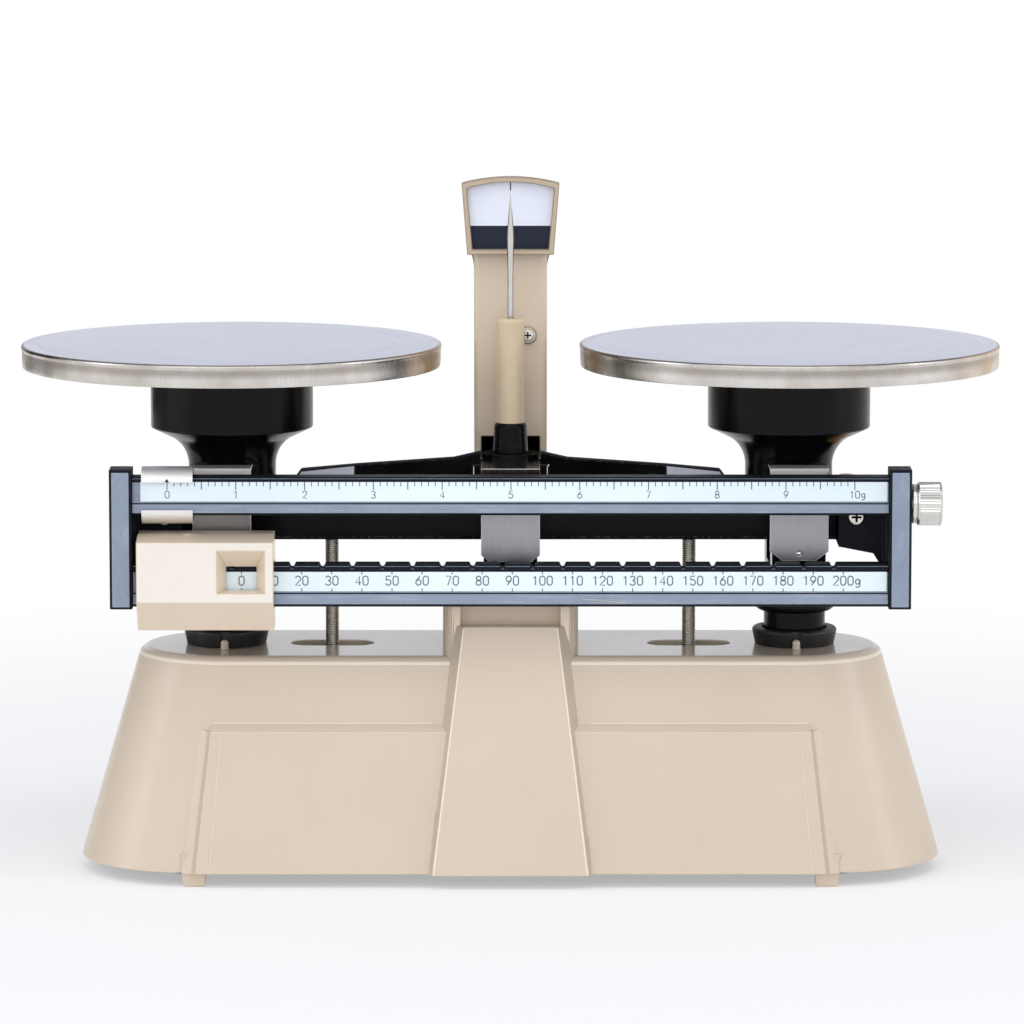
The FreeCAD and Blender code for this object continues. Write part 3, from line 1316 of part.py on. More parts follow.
def knife_covers(side, prefix):
    x = side * d.armReach
    half, flat = d.coverWidth / 2, d.coverFlat / 2
    top = d.yokeTop + d.coverSheet
    corner = d.coverBottom + d.coverCornerHeight
    front = [(x - flat, d.coverBottom), (x + flat, d.coverBottom), (x + half, corner),
             (x + half, top), (x - half, top), (x - half, corner)]
    covers, rivets = [], []
    for name, sign in (("front", -1), ("rear", 1)):
        body = new_body(f"{prefix}_{name}_clip")
        hole = Ring(x, d.rivetHeight, d.rivetShank / 2 + d.screwHoleGap)
        add(body, f"{prefix}_{name}_face", "XZ", [front, hole],
            *mirrored_span(sign, d.yokeHalfDepth, d.coverOuter))
        low, high = mirrored_span(sign, d.coverOuter - d.coverFlangeDepth, d.coverOuter)
        add(body, f"{prefix}_{name}_flange", "XY", [rectangle(x - half, x + half, low, high)], d.yokeTop, top)
        covers.append(body)
        rivet = new_body(f"{prefix}_{name}_rivet")
        radius, dome, shank = d.rivetDiameter / 2, d.rivetDome, d.rivetShank / 2
        sweep = (radius * radius + dome * dome) / (2 * dome)
        face, end = sign * d.coverOuter, sign * (d.yokeHalfDepth - d.rivetLength + d.freeGap)
        revolve(rivet, f"{prefix}_{name}_rivet_turning", "Y", (x, d.rivetHeight),
                [(end, 0), (end, shank), (face, shank), (face, radius),
                 Arc(face + sign * (dome - sweep), 0, -sign), (face + sign * dome, 0)])
        rivets.append(rivet)
    group(prefix + "_knife_covers", covers)
    group(prefix + "_cover_rivets", rivets)


def stem(side, prefix):
    x = side * d.armReach
    body = new_body(prefix + "_stem_bar")
    flange, radius, bend = d.stemFlange / 2, d.stemDiameter / 2, d.stemFlangeRound
    end = d.checkHeight - d.stemBelowPin
    revolve(body, prefix + "_stem_turning", "Z", (x, 0),
            [(end, 0), (end, radius), (d.flangeBottom, radius), (d.flangeBottom, flange - bend),
             Arc(d.flangeBottom + bend, flange - bend, -1), (d.flangeBottom + bend, flange),
             (d.yokeBottom, flange), (d.yokeBottom, 0)])
    slot = d.checkBeamThickness / 2 + d.freeGap
    cut(body, prefix + "_fork", "YZ", [rectangle(-slot, slot, end, d.checkHeight + d.forkAbovePin)],
        x - radius, x + radius)
    pin = d.stemPinDiameter / 2
    cut(body, prefix + "_pin_hole", "XZ", [Ring(x, d.checkHeight, pin + d.screwHoleGap)], -radius, radius)
    node(body, prefix + "_stem")
    body = new_body(prefix + "_pin_bar")
    reach = radius - d.freeGap * 2
    revolve(body, prefix + "_pin_turning", "Y", (x, d.checkHeight),
            [(-reach, 0), (-reach, pin), (reach, pin), (reach, 0)])
    node(body, prefix + "_stem_pin")


def pan(side, prefix):
    x = side * d.panReach
    body = new_body(prefix + "_dish")
    radius, sheet, edge = d.panDiameter / 2, d.panSheet, d.panEdge
    top = d.supportTop + sheet
    rim = top - d.panSkirt
    revolve(body, prefix + "_dish_turning", "Z", (x, 0),
            [(top, 0), (d.supportTop, 0), (d.supportTop, radius - edge), Arc(top - edge, radius - edge, 1),
             (top - edge, radius - sheet), (rim, radius - sheet), (rim, radius), (top - edge, radius),
             Arc(top - edge, radius - edge, -1), (top, radius - edge)])
    node(body, prefix + "_pan")
    body = new_body(prefix + "_spigot_bar")
    spigot, tip = d.spigotDiameter / 2, d.supportTop - d.spigotLength
    revolve(body, prefix + "_spigot_turning", "Z", (x, 0),
            [(tip, 0), (tip, spigot - d.panEdge), (tip + d.panEdge, spigot), (d.supportTop, spigot),
             (d.supportTop, 0)])
    node(body, prefix + "_pan_spigot")


def check_link():
    body = new_body("bracket")
    outer = d.bracketHalfInner + d.bracketSheet
    drop = d.checkHeight - d.checkHubRadius
    inner, ceiling = d.bracketHalfInner, d.deckUnder - d.bracketSheet
    cheeks = [(-outer, drop), (-outer, d.deckUnder), (outer, d.deckUnder), (outer, drop),
              (inner, drop), (inner, ceiling), (-inner, ceiling), (-inner, drop)]
    half = d.bracketWidth / 2
    add(body, "bracket_section", "YZ", [cheeks], -half, half)
    pin = d.checkPinDiameter / 2
    cut(body, "bracket_bore", "XZ", [Ring(0, d.checkHeight, pin + d.screwHoleGap)], -outer, outer)
    for side in (-1, 1):
        screw_hole(body, f"bracket_screw_hole_{side + 1}", "Z", (side * d.bracketScrewX, 0),
                   d.deckUnder - d.bracketSheet, 1, FRAME_SCREW)
    node(body, "check_bracket")
    group("bracket_screws", [screw(f"bracket_screw_{side + 1}", "Z", (side * d.bracketScrewX, 0),
                                   d.deckUnder - d.bracketSheet, 1, FRAME_SCREW) for side in (-1, 1)])
    body = new_body("lower_pivot")
    reach = outer + d.checkPinOver
    revolve(body, "lower_pivot_turning", "Y", (0, d.checkHeight),
            [(-reach, 0), (-reach, pin), (reach, pin), (reach, 0)])
    node(body, "check_pin")

    body = new_body("check_bar")
    deep = d.checkBeamThickness / 2
    z = d.checkHeight
    bar = d.checkBarHalf
    add(body, "check_web", "XZ", [rectangle(-d.armReach, d.armReach, z - bar, z + bar)], -deep, deep)
    eyes = [Ring(side * d.armReach, z, d.checkEndRadius) for side in (-1, 1)] + [Ring(0, z, d.checkHubRadius)]
    for number, eye in enumerate(eyes):
        add(body, f"check_eye_{number}", "XZ", [eye], -deep, deep)
    bushes = []
    spots = [(-d.armReach, d.stemPinDiameter), (as_size(0), d.checkPinDiameter),
             (d.armReach, d.stemPinDiameter)]
    for number, (x, diameter) in enumerate(spots):
        bore = diameter / 2 + d.runningGap
        outside = bore + d.bushWall
        cut(body, f"check_bore_{number}", "XZ", [Ring(x, z, outside + d.knifeSeat)], -deep, deep)
        bush = new_body(f"bush_{number}")
        add(bush, f"bush_tube_{number}", "XZ", [Ring(x, z, outside), Ring(x, z, bore)], -deep, deep)
        bushes.append(bush)
    node(body, "check_beam")
    group("check_bushes", bushes)


def poise():
    body = new_body("poise_casting")
    front, back, wall = d.poiseFront, d.poiseBack, d.poiseWall
    section = [(-back, d.poiseTop), (-d.poiseBrowDepth, d.poiseTop), (-front, d.poiseBrow),
               (-front, d.poiseFold), (-d.poiseKeel, d.poiseBottom), (-back, d.poiseBottom)]
    add(body, "poise_section", "YZ", [section], d.poiseLeft, d.poiseRight)
    inner_front = d.railFace + d.railLip + d.freeGap
    channel_low, channel_high = d.lowerRailBottom - d.freeGap, d.lowerRailTop + d.freeGap
    cut(body, "rail_channel", "YZ", [rectangle(-inner_front, -back, channel_low, channel_high)],
        d.poiseLeft, d.poiseRight)
    # Hollows that bring the casting down to the weight its scale needs.
    inside = (d.poiseLeft + wall, d.poiseRight - wall)
    cut(body, "pawl_chamber", "YZ", [rectangle(-inner_front, -back, d.lowerRailTop, d.chamberTop)], *inside)
    keel = rectangle(wall - d.poiseKeel, -back, d.poiseBottom + wall, channel_high)
    cut(body, "keel_chamber", "YZ", [keel], *inside)
    cut(body, "front_chamber", "YZ", [rectangle(wall - front, -back, d.poiseFold, d.chamberTop)],
        d.poiseLeft + wall, d.windowCentre - d.windowHalf - d.windowFlare - wall)
    glass = (d.windowCentre - d.windowHalf, d.windowCentre + d.windowHalf)
    face = (glass[0] - d.windowFlare, glass[1] + d.windowFlare)
    mouth = rectangle(*face, d.windowInnerBottom - d.windowFlareFoot, d.windowInnerTop + d.windowFlareTop)
    outer = draw(body, "window_outer", "XZ", [mouth], (0, 0, front))
    inner = draw(body, "window_inner", "XZ", [rectangle(*glass, d.windowInnerBottom, d.windowInnerTop)],
                 (0, 0, inner_front))
    loft(body, "window", [outer, inner], "SubtractiveLoft")
    node(body, "poise_shell")

    node(box("poise_back_sheet", (d.poiseLeft, d.poiseRight), (-back, d.poiseSheet - back),
             (d.poiseBottom, d.poiseTop)), "poise_back")
    body = new_body("pawl")
    half, nose = d.pawlWidth / 2, d.pawlNose / 2
    shoulder = d.chamberTop - d.pawlShoulder
    blade = [(d.notchStart - nose, channel_high), (d.notchStart + nose, channel_high),
             (d.notchStart + half, shoulder), (d.notchStart + half, d.chamberTop),
             (d.notchStart - half, d.chamberTop), (d.notchStart - half, shoulder)]
    add(body, "pawl_blade", "XZ", [blade], d.railMid - d.pawlDepth / 2, d.railMid + d.pawlDepth / 2)
    node(body, "poise_pawl")


def rider():
    body = new_body("rider_strip")
    out, inn = d.riderBend, d.riderBend - d.riderSheet
    high, low = d.riderHigh, d.riderLow
    y = d.railMid
    section = [(y - out, high), Arc(y, high, -1), (y + out, high), (y + out, low), Arc(y, low, -1),
               (y - out, low), (y - inn, low), Arc(y, low, 1), (y + inn, low), (y + inn, high),
               Arc(y, high, 1), (y - inn, high)]
    half = d.riderWidth / 2
    add(body, "rider_section", "YZ", [section], d.riderCentre - half, d.riderCentre + half)
    nick = [(d.riderCentre - d.riderNick, high), (d.riderCentre + d.riderNick, high),
            (d.riderCentre, high + d.riderNick * 1.4)]
    cut(body, "rider_index", "XZ", [nick], y - out, y - inn + d.riderSheet)
    node(body, "rider_clip")


base_housing()
bottom_plate()
stem_collar(-1, "left_stem_collar")
stem_collar(1, "right_stem_collar")
fulcrum_stand()
pointer_tower()
dial()
check_link()
main_beam()
knives()
fulcrum_cover()
brackets()
rails()
zero_nut()
pointer()
stop_rods()
counterweight()
for side, prefix in ((-1, "left"), (1, "right")):
    pan_support(side, prefix)
    knife_covers(side, prefix)
    stem(side, prefix)
    pan(side, prefix)
poise()
rider()

doc.recompute()
CUTTERS = ("PartDesign::Pocket", "PartDesign::SubtractiveLoft", "PartDesign::Groove")
problems = []
for item in doc.Objects:
    if any(state in ("Invalid", "Error") for state in item.State):
        problems.append(f"{item.Name} failed")
    elif item.TypeId in CUTTERS and item.Shape.Volume >= item.BaseFeature.Shape.Volume - 1e-6:
        problems.append(f"{item.Name} cuts nothing")
for item in nodes:
    if item.Shape.isNull() or not item.Shape.isValid():
        problems.append(f"{item.Label} has no valid shape")
    elif item.TypeId == "PartDesign::Body" and len(item.Shape.Solids) != 1:
        problems.append(f"{item.Label} is in {len(item.Shape.Solids)} pieces")
if problems:
    raise RuntimeError("; ".join(problems))

os.makedirs("parts", exist_ok=True)
for item in nodes:
    item.Shape.exportStep(f"parts/{item.Label}.step")
print(len(nodes), "nodes written")
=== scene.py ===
import json
import math

import bmesh
import bpy
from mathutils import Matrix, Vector
from mathutils.bvhtree import BVHTree
from mathutils.kdtree import KDTree

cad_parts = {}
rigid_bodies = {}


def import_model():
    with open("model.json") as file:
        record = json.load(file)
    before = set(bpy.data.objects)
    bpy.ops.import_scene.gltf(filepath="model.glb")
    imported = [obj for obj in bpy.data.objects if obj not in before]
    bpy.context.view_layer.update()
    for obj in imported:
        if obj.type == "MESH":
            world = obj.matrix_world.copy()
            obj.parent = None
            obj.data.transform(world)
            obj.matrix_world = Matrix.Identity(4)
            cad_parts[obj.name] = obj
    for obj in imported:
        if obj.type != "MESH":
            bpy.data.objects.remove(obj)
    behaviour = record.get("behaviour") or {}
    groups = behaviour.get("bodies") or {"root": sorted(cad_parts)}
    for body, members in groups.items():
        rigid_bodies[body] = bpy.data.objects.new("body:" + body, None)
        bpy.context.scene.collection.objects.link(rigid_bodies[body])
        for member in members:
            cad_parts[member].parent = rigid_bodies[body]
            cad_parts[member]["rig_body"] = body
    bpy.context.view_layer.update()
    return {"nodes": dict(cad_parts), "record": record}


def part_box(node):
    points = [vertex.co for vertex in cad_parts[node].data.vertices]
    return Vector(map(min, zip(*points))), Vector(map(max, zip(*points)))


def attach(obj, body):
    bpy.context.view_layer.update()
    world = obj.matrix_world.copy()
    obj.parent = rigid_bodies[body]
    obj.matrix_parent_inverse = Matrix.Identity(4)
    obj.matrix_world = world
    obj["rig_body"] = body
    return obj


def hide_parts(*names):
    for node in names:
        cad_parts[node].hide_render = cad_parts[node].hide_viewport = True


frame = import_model()
scene = bpy.context.scene
mm = 0.001
print("frame loaded:", len(frame["nodes"]), "nodes")

# plain words for the shader sockets that take a fixed value
socketNames = {"ior": "IOR", "metallic": "Metallic", "specular": "Specular IOR Level", "coat": "Coat Weight",
               "coatHaze": "Coat Roughness", "bleed": "Subsurface Weight", "bleedReach": "Subsurface Scale"}
colourMix = {"out": 2, "data_type": "RGBA"}  # output and setting of a mix of two colours
noiseRange = (0.3, 0.7)  # where most values of a noise lie


def linear(hexCode):
    channels = [int(hexCode[i:i + 2], 16) / 255 for i in (1, 3, 5)]
    return [c / 12.92 if c <= 0.04045 else ((c + 0.055) / 1.055) ** 2.4 for c in channels] + [1.0]


def addNode(tree, kind, inputs=(), out=0, **settings):
    # inputs are a list in the sockets' own order, or a dictionary by the socket's name or number
    node = tree.nodes.new("ShaderNode" + kind)
    for key, value in settings.items():
        setattr(node, key, value)
    for socket, value in (inputs if isinstance(inputs, dict) else dict(enumerate(inputs))).items():
        if isinstance(value, bpy.types.NodeSocket):
            tree.links.new(value, node.inputs[socket])
        else:
            node.inputs[socket].default_value = value
    return node.outputs[out]


def startMaterial(look):
    look = {key: linear(value) if str(value).startswith("#") else value for key, value in look.items()}
    material = bpy.data.materials.new(look["name"])
    material.use_nodes = True
    tree = material.node_tree
    for key in socketNames.keys() & look.keys():
        tree.nodes["Principled BSDF"].inputs[socketNames[key]].default_value = look[key]
    return look, material, tree, addNode(tree, "TexCoord", out="Object")


def endMaterial(tree, colour, rough, height, depth):
    bump = addNode(tree, "Bump", {"Height": height, "Distance": depth * mm, "Strength": 1.0})
    for socket, source in (("Base Color", colour), ("Roughness", rough), ("Normal", bump)):
        tree.links.new(source, tree.nodes["Principled BSDF"].inputs[socket])


def sprayedFinish(look):
    # colour drifts in soft clouds, nibs sit in the film, edges rub through, concave corners take painted
    # shade, orange peel breaks the gloss
    look, material, tree, place = startMaterial({**sprayed, **look})
    cloud = addNode(tree, "TexNoise", {"Vector": place, "Scale": 1 / (look["cloud"] * mm), "Detail": 4.0})
    colour = addNode(tree, "Mix", {0: cloud, 6: look["colour"], 7: look["drift"]}, **colourMix)
    nib = addNode(tree, "TexNoise", {"Vector": place, "Scale": 1 / (look["nib"] * mm), "Detail": 1.0})
    nibMask = addNode(tree, "MapRange", [nib, *look["nibRange"], 0.0, look["nibStrength"]])
    colour = addNode(tree, "Mix", {0: nibMask, 6: colour, 7: look["nibColour"]}, **colourMix)
    edge = addNode(tree, "Attribute", out="Fac", attribute_name="edgeWear")
    rub = addNode(tree, "TexNoise", {"Vector": place, "Scale": 1 / (look["rub"] * mm), "Detail": 5.0})
    rubMask = addNode(tree, "MapRange", [rub, *look["rubRange"], 0.0, look["rubStrength"]])
    worn = addNode(tree, "Math", [rubMask, edge], operation="MULTIPLY")
    colour = addNode(tree, "Mix", {0: worn, 6: colour, 7: look["worn"]}, **colourMix)
    scale = [1 / (size * mm) for size in look["scuffSize"]]
    stretch = addNode(tree, "VectorMath", [place, scale], operation="MULTIPLY")
    scuff = addNode(tree, "TexNoise", {"Vector": stretch, "Scale": 1.0, "Detail": 6.0, "Roughness": 0.6})
    scuffMask = addNode(tree, "MapRange", [scuff, *look["scuffRange"], 0.0, look["scuffStrength"]])
    colour = addNode(tree, "Mix", {0: scuffMask, 6: colour, 7: look["worn"]}, **colourMix)
    # painted shade: faces of concave corners darken towards the nib colour
    corner = addNode(tree, "Attribute", out="Fac", attribute_name="crevice")
    cornerShadeMask = addNode(tree, "Math", [corner, look["dust"]], operation="MULTIPLY")
    colour = addNode(tree, "Mix", {0: cornerShadeMask, 6: colour, 7: look["nibColour"]}, **colourMix)
    haze = addNode(tree, "MapRange", [cloud, *noiseRange, *look["gloss"]])
    dull = addNode(tree, "Math", [scuffMask, look["dulling"], haze], operation="MULTIPLY_ADD")
    peel = addNode(tree, "TexNoise", {"Vector": place, "Scale": 1 / (look["peel"] * mm), "Detail": 2.0})
    endMaterial(tree, colour, dull, peel, look["peelDepth"])
    return material


def brushedFinish(look):
    # hairlines from the abrasive belt, drawn wider than real ones so that they show, in warm and cool drift
    look, material, tree, place = startMaterial({**brushed, **look})
    along = addNode(tree, "VectorMath", [place, look["centre"]], operation="SUBTRACT")
    x, y, z = addNode(tree, "SeparateXYZ", [along]).node.outputs
    if look["grain"] in ("turned", "upright"):
        flat = addNode(tree, "CombineXYZ", [x, y])
        radius = addNode(tree, "VectorMath", [flat], "Value", operation="LENGTH")
        turn = addNode(tree, "Math", [y, x], operation="ARCTAN2")
        arc = addNode(tree, "Math", [turn, look["reach"] * mm], operation="MULTIPLY")
        across, length = (radius, arc) if look["grain"] == "turned" else (arc, z)
    else:
        first, second, length = {"x": (y, z, x), "y": (x, z, y), "z": (x, y, z)}[look["grain"]]
        across = addNode(tree, "Math", [first, second], operation="ADD")
    wide = addNode(tree, "Math", [across, 1 / (look["hair"] * mm)], operation="MULTIPLY")
    slow = addNode(tree, "Math", [length, 1 / (look["stroke"] * mm)], operation="MULTIPLY")
    strands = addNode(tree, "CombineXYZ", [wide, slow])
    hair = addNode(tree, "TexNoise", {"Vector": strands, "Scale": 1.0, "Detail": 3.0})
    cloud = addNode(tree, "TexNoise", {"Vector": place, "Scale": 1 / (look["cloud"] * mm), "Detail": 2.0})
    colour = addNode(tree, "Mix", {0: cloud, 6: look["colour"], 7: look["drift"]}, **colourMix)
    if "bands" in look:  # a rolled rim in painted reflection: a darker belt under the bead, a brown tint towards the left side and a straw one towards the right
        height = addNode(tree, "Attribute", out="Fac", attribute_name="rimHeight")
        belts = addNode(tree, "ValToRGB", [height])
        stops = belts.node.color_ramp.elements
        stops[1].color = (*[look["lastBand"]] * 3, 1)
        for spot, value in look["bands"]:
            stops.new(spot).color = (value, value, value, 1)
        colour = addNode(tree, "Mix", {0: belts, 6: colour, 7: look["shade"]}, **colourMix)
        reach = look["reach"] * mm
        sideways = addNode(tree, "Math", [x], operation="ABSOLUTE")
        far = addNode(tree, "MapRange", [sideways, *(share * reach for share in look["tintRange"])])
        patch = addNode(tree, "MapRange", [cloud, *look["patchRange"], *look["patchStrength"]])
        reflectionTintShare = addNode(tree, "Math", [far, patch], operation="MULTIPLY")
        flank = addNode(tree, "MapRange", [x, -reach, reach])
        sideTintReflection = addNode(tree, "Mix", {0: flank, 6: look["leftTint"], 7: look["rightTint"]}, **colourMix)
        colour = addNode(tree, "Mix", {0: reflectionTintShare, 6: colour, 7: sideTintReflection}, **colourMix)
    dark = addNode(tree, "MapRange", [hair, *look["hairRange"], 0.0, look["hairStrength"]])
    colour = addNode(tree, "Mix", {0: dark, 6: colour, 7: look["streak"]}, **colourMix)
    edge = addNode(tree, "Attribute", out="Fac", attribute_name="edgeWear")
    colour = addNode(tree, "Mix", {0: edge, 6: colour, 7: look["rubbed"]}, **colourMix)
    rough = addNode(tree, "MapRange", [hair, *noiseRange, *look["gloss"]])
    endMaterial(tree, colour, rough, hair, look["scratch"])
    return material


def mouldedFinish(look):
    # plastic or rubber: faint flow marks, a fine spark-eroded grain and a little handling haze
    look, material, tree, place = startMaterial(look)
    flow = addNode(tree, "TexNoise", {"Vector": place, "Scale": 1 / (look["flow"] * mm), "Detail": 3.0,
                                      "Distortion": 0.6})
    colour = addNode(tree, "Mix", {0: flow, 6: look["colour"], 7: look["drift"]}, **colourMix)
    edge = addNode(tree, "Attribute", out="Fac", attribute_name="edgeWear")
    rubbed = addNode(tree, "Math", [edge, look["rubStrength"]], operation="MULTIPLY")
    colour = addNode(tree, "Mix", {0: rubbed, 6: colour, 7: look["worn"]}, **colourMix)
    haze = addNode(tree, "MapRange", [flow, *noiseRange, *look["gloss"]])
    grain = addNode(tree, "TexNoise", {"Vector": place, "Scale": 1 / (look["grain"] * mm), "Detail": 2.0})
    endMaterial(tree, colour, haze, grain, look["grainDepth"])
    return material


# sizes of patterns are in millimetres, a range is the values of its noise where it starts and is full;
# an enamel below says only where it departs from this
sprayed = {"cloud": 20, "nib": 0.9, "nibRange": (0.74, 0.8), "nibStrength": 0.2, "rub": 2.0,
           "rubRange": (0.5, 0.62), "rubStrength": 0.4, "scuffSize": (7, 3, 0.9), "scuffRange": (0.66, 0.74),
           "scuffStrength": 0.2, "dust": 0.4, "dulling": 0.25, "gloss": (0.34, 0.46), "peel": 2.0,
           "peelDepth": 0.01, "ior": 1.5}
enamels = {
    # stoving enamel sprayed on the cast base: warm beige under a clear gloss
    "beige": {"name": "stovedBeigeEnamel", "colour": "#D6C6B1", "drift": "#CEBDA7", "nibColour": "#B5A48D",
              "worn": "#E4D8C8", "cloud": 45, "nib": 1.1, "rub": 3.0, "rubStrength": 0.2,
              "gloss": (0.32, 0.42), "peel": 2.2, "scuffSize": (9, 9, 1.2), "specular": 0.45, "coat": 0.25,
              "coatHaze": 0.22},
    # the poise is sprayed with a paler coat of the same enamel
    "cream": {"name": "stovedCreamEnamel", "colour": "#EEE6DC", "drift": "#E8DED1", "nibColour": "#C9BBA6",
              "worn": "#DAC8B0", "cloud": 25, "rubStrength": 0.6, "scuffStrength": 0.3, "specular": 0.35,
              "coat": 0.6, "coatHaze": 0.08},
    # the tower: the same enamel in a thinner, browner coat
    "fawn": {"name": "stovedFawnEnamel", "colour": "#D7C6B0", "drift": "#CEBCA5", "nibColour": "#A8967F",
             "worn": "#DFD2C0", "cloud": 30, "nib": 1.0, "rub": 2.5, "gloss": (0.36, 0.48),
             "scuffSize": (3, 3, 8), "scuffStrength": 0.25, "specular": 0.35, "coat": 0.3, "coatHaze": 0.15},
    # blue-grey lacquer on the rails: satin, scuffed where the poise runs
    "slate": {"name": "satinSlateLacquer", "colour": "#909CAE", "drift": "#7C8799", "nibColour": "#5B6475",
              "worn": "#C3CAD5", "cloud": 9, "nib": 0.8, "nibStrength": 0.4, "rub": 1.6, "rubStrength": 0.15,
              "gloss": (0.26, 0.42), "peel": 1.6, "scuffSize": (16, 6, 1.6), "scuffRange": (0.52, 0.74),
              "scuffStrength": 0.28, "coat": 0.2, "coatHaze": 0.2},
    # the same lacquer as painted shade: near black on tops, lips, backs and the caps' sides
    "midnight": {"name": "darkSlateLacquer", "colour": "#12151B", "drift": "#1A1E26", "nibColour": "#4A5160",
                 "worn": "#333944", "cloud": 10, "nib": 0.8, "nibStrength": 0.3, "rub": 1.4,
                 "rubStrength": 0.35, "gloss": (0.45, 0.6), "peel": 1.6, "scuffSize": (6, 3, 0.6),
                 "scuffStrength": 0.5, "specular": 0.12},
    # gloss black stoving enamel on the cast beam: deep, with dust nibs and rubbed edges
    "black": {"name": "stovedBlackEnamel", "colour": "#050506", "drift": "#09090B", "nibColour": "#2E2E34",
              "worn": "#4A4C54", "nibStrength": 0.4, "rub": 1.8, "rubStrength": 0.55, "gloss": (0.2, 0.32),
              "peel": 2.4, "peelDepth": 0.012, "scuffSize": (8, 5, 0.7), "scuffStrength": 0.4,
              "specular": 0.13},
    # painted sheen: the beam's end slopes painted a grey satin that stands for the lamp above mirrored in the
    # black enamel
    "wingSlope": {"name": "rubbedBlackEnamel", "colour": "#DCDEE5", "drift": "#CFD1D9",
                  "nibColour": "#5A5C64", "worn": "#B4B6BD", "cloud": 9, "nibStrength": 0.3, "rub": 1.8,
                  "gloss": (0.25, 0.35), "peel": 2.4, "peelDepth": 0.006, "scuffSize": (8, 5, 0.7),
                  "scuffStrength": 0.3},
    # painted shade on the tower's edges and the dial tray's walls: the fawn enamel brown and shaded
    "umber": {"name": "shadedFawnEnamel", "colour": "#94866F", "drift": "#897B66", "nibColour": "#6E614F",
              "worn": "#A99B85", "nib": 1.0, "rub": 2.5, "rubStrength": 0.3, "gloss": (0.4, 0.5),
              "peelDepth": 0.008, "scuffSize": (3, 3, 8), "specular": 0.3},
    # painted shade in the screw recesses: near black and dull
    "grime": {"name": "oiledDust", "colour": "#1A1815", "drift": "#242019", "nibColour": "#4A453C",
              "worn": "#3A352D", "cloud": 1, "nib": 0.4, "nibStrength": 0.3, "rub": 1.0, "rubStrength": 0.2,
              "gloss": (0.55, 0.7), "peel": 0.5, "peelDepth": 0.004, "scuffSize": (1, 1, 1), "ior": 1.45,
              "specular": 0.2},
    # grey zinc primer on hidden sheet metal: flat and dusty
    "primer": {"name": "greyZincPrimer", "colour": "#8E8F8C", "drift": "#7F807D", "nibColour": "#666764",
               "worn": "#A9AAA6", "cloud": 18, "nib": 0.8, "nibStrength": 0.4, "rub": 2.5, "rubStrength": 0.6,
               "gloss": (0.5, 0.65), "peel": 0.8, "scuffSize": (9, 9, 2), "scuffStrength": 0.5},
    # white coating on the aluminium scales: faintly blue, even, slightly glossy
    "scaleWhite": {"name": "whiteCoatedAluminium", "colour": "#EAF5F9", "drift": "#E1EFF5",
                   "nibColour": "#B9C6CE", "worn": "#C8D4DB", "cloud": 30, "nib": 0.7, "gloss": (0.3, 0.4),
                   "peel": 1.5, "peelDepth": 0.004, "scuffSize": (9, 4, 0.6), "scuffStrength": 0.25,
                   "ior": 1.49},
    # silk-screen ink: thin, matt and grey
    "ink": {"name": "greyScreenInk", "colour": "#5C6267", "drift": "#6B7176", "nibColour": "#A9AFB4",
            "worn": "#8A9095", "cloud": 4, "nib": 0.5, "nibStrength": 0.3, "rub": 1.0, "rubStrength": 0.2,
            "gloss": (0.5, 0.6), "peel": 0.8, "peelDepth": 0.002, "scuffSize": (2, 2, 0.5),
            "scuffStrength": 0.4},
    # lacquered dial card, cool white
    "dialWhite": {"name": "whiteDialCard", "colour": "#E8EBF5", "drift": "#E0E4F0", "nibColour": "#C2C8D6",
                  "worn": "#CDD2DE", "cloud": 12, "nib": 0.7, "rubStrength": 0.3, "gloss": (0.35, 0.45),
                  "peel": 1.2, "peelDepth": 0.003, "scuffSize": (5, 2, 5), "ior": 1.49},
    # navy print across the foot of the dial: smooth and dark
    "navy": {"name": "navyScreenInk", "colour": "#1C2130", "drift": "#232939", "nibColour": "#4A5369",
             "worn": "#3B445A", "cloud": 8, "nib": 0.6, "nibStrength": 0.35, "rub": 1.0, "rubStrength": 0.2,
             "gloss": (0.32, 0.42), "peel": 1.0, "peelDepth": 0.003, "scuffSize": (4, 2, 1),
             "scuffStrength": 0.4, "specular": 0.2},
}

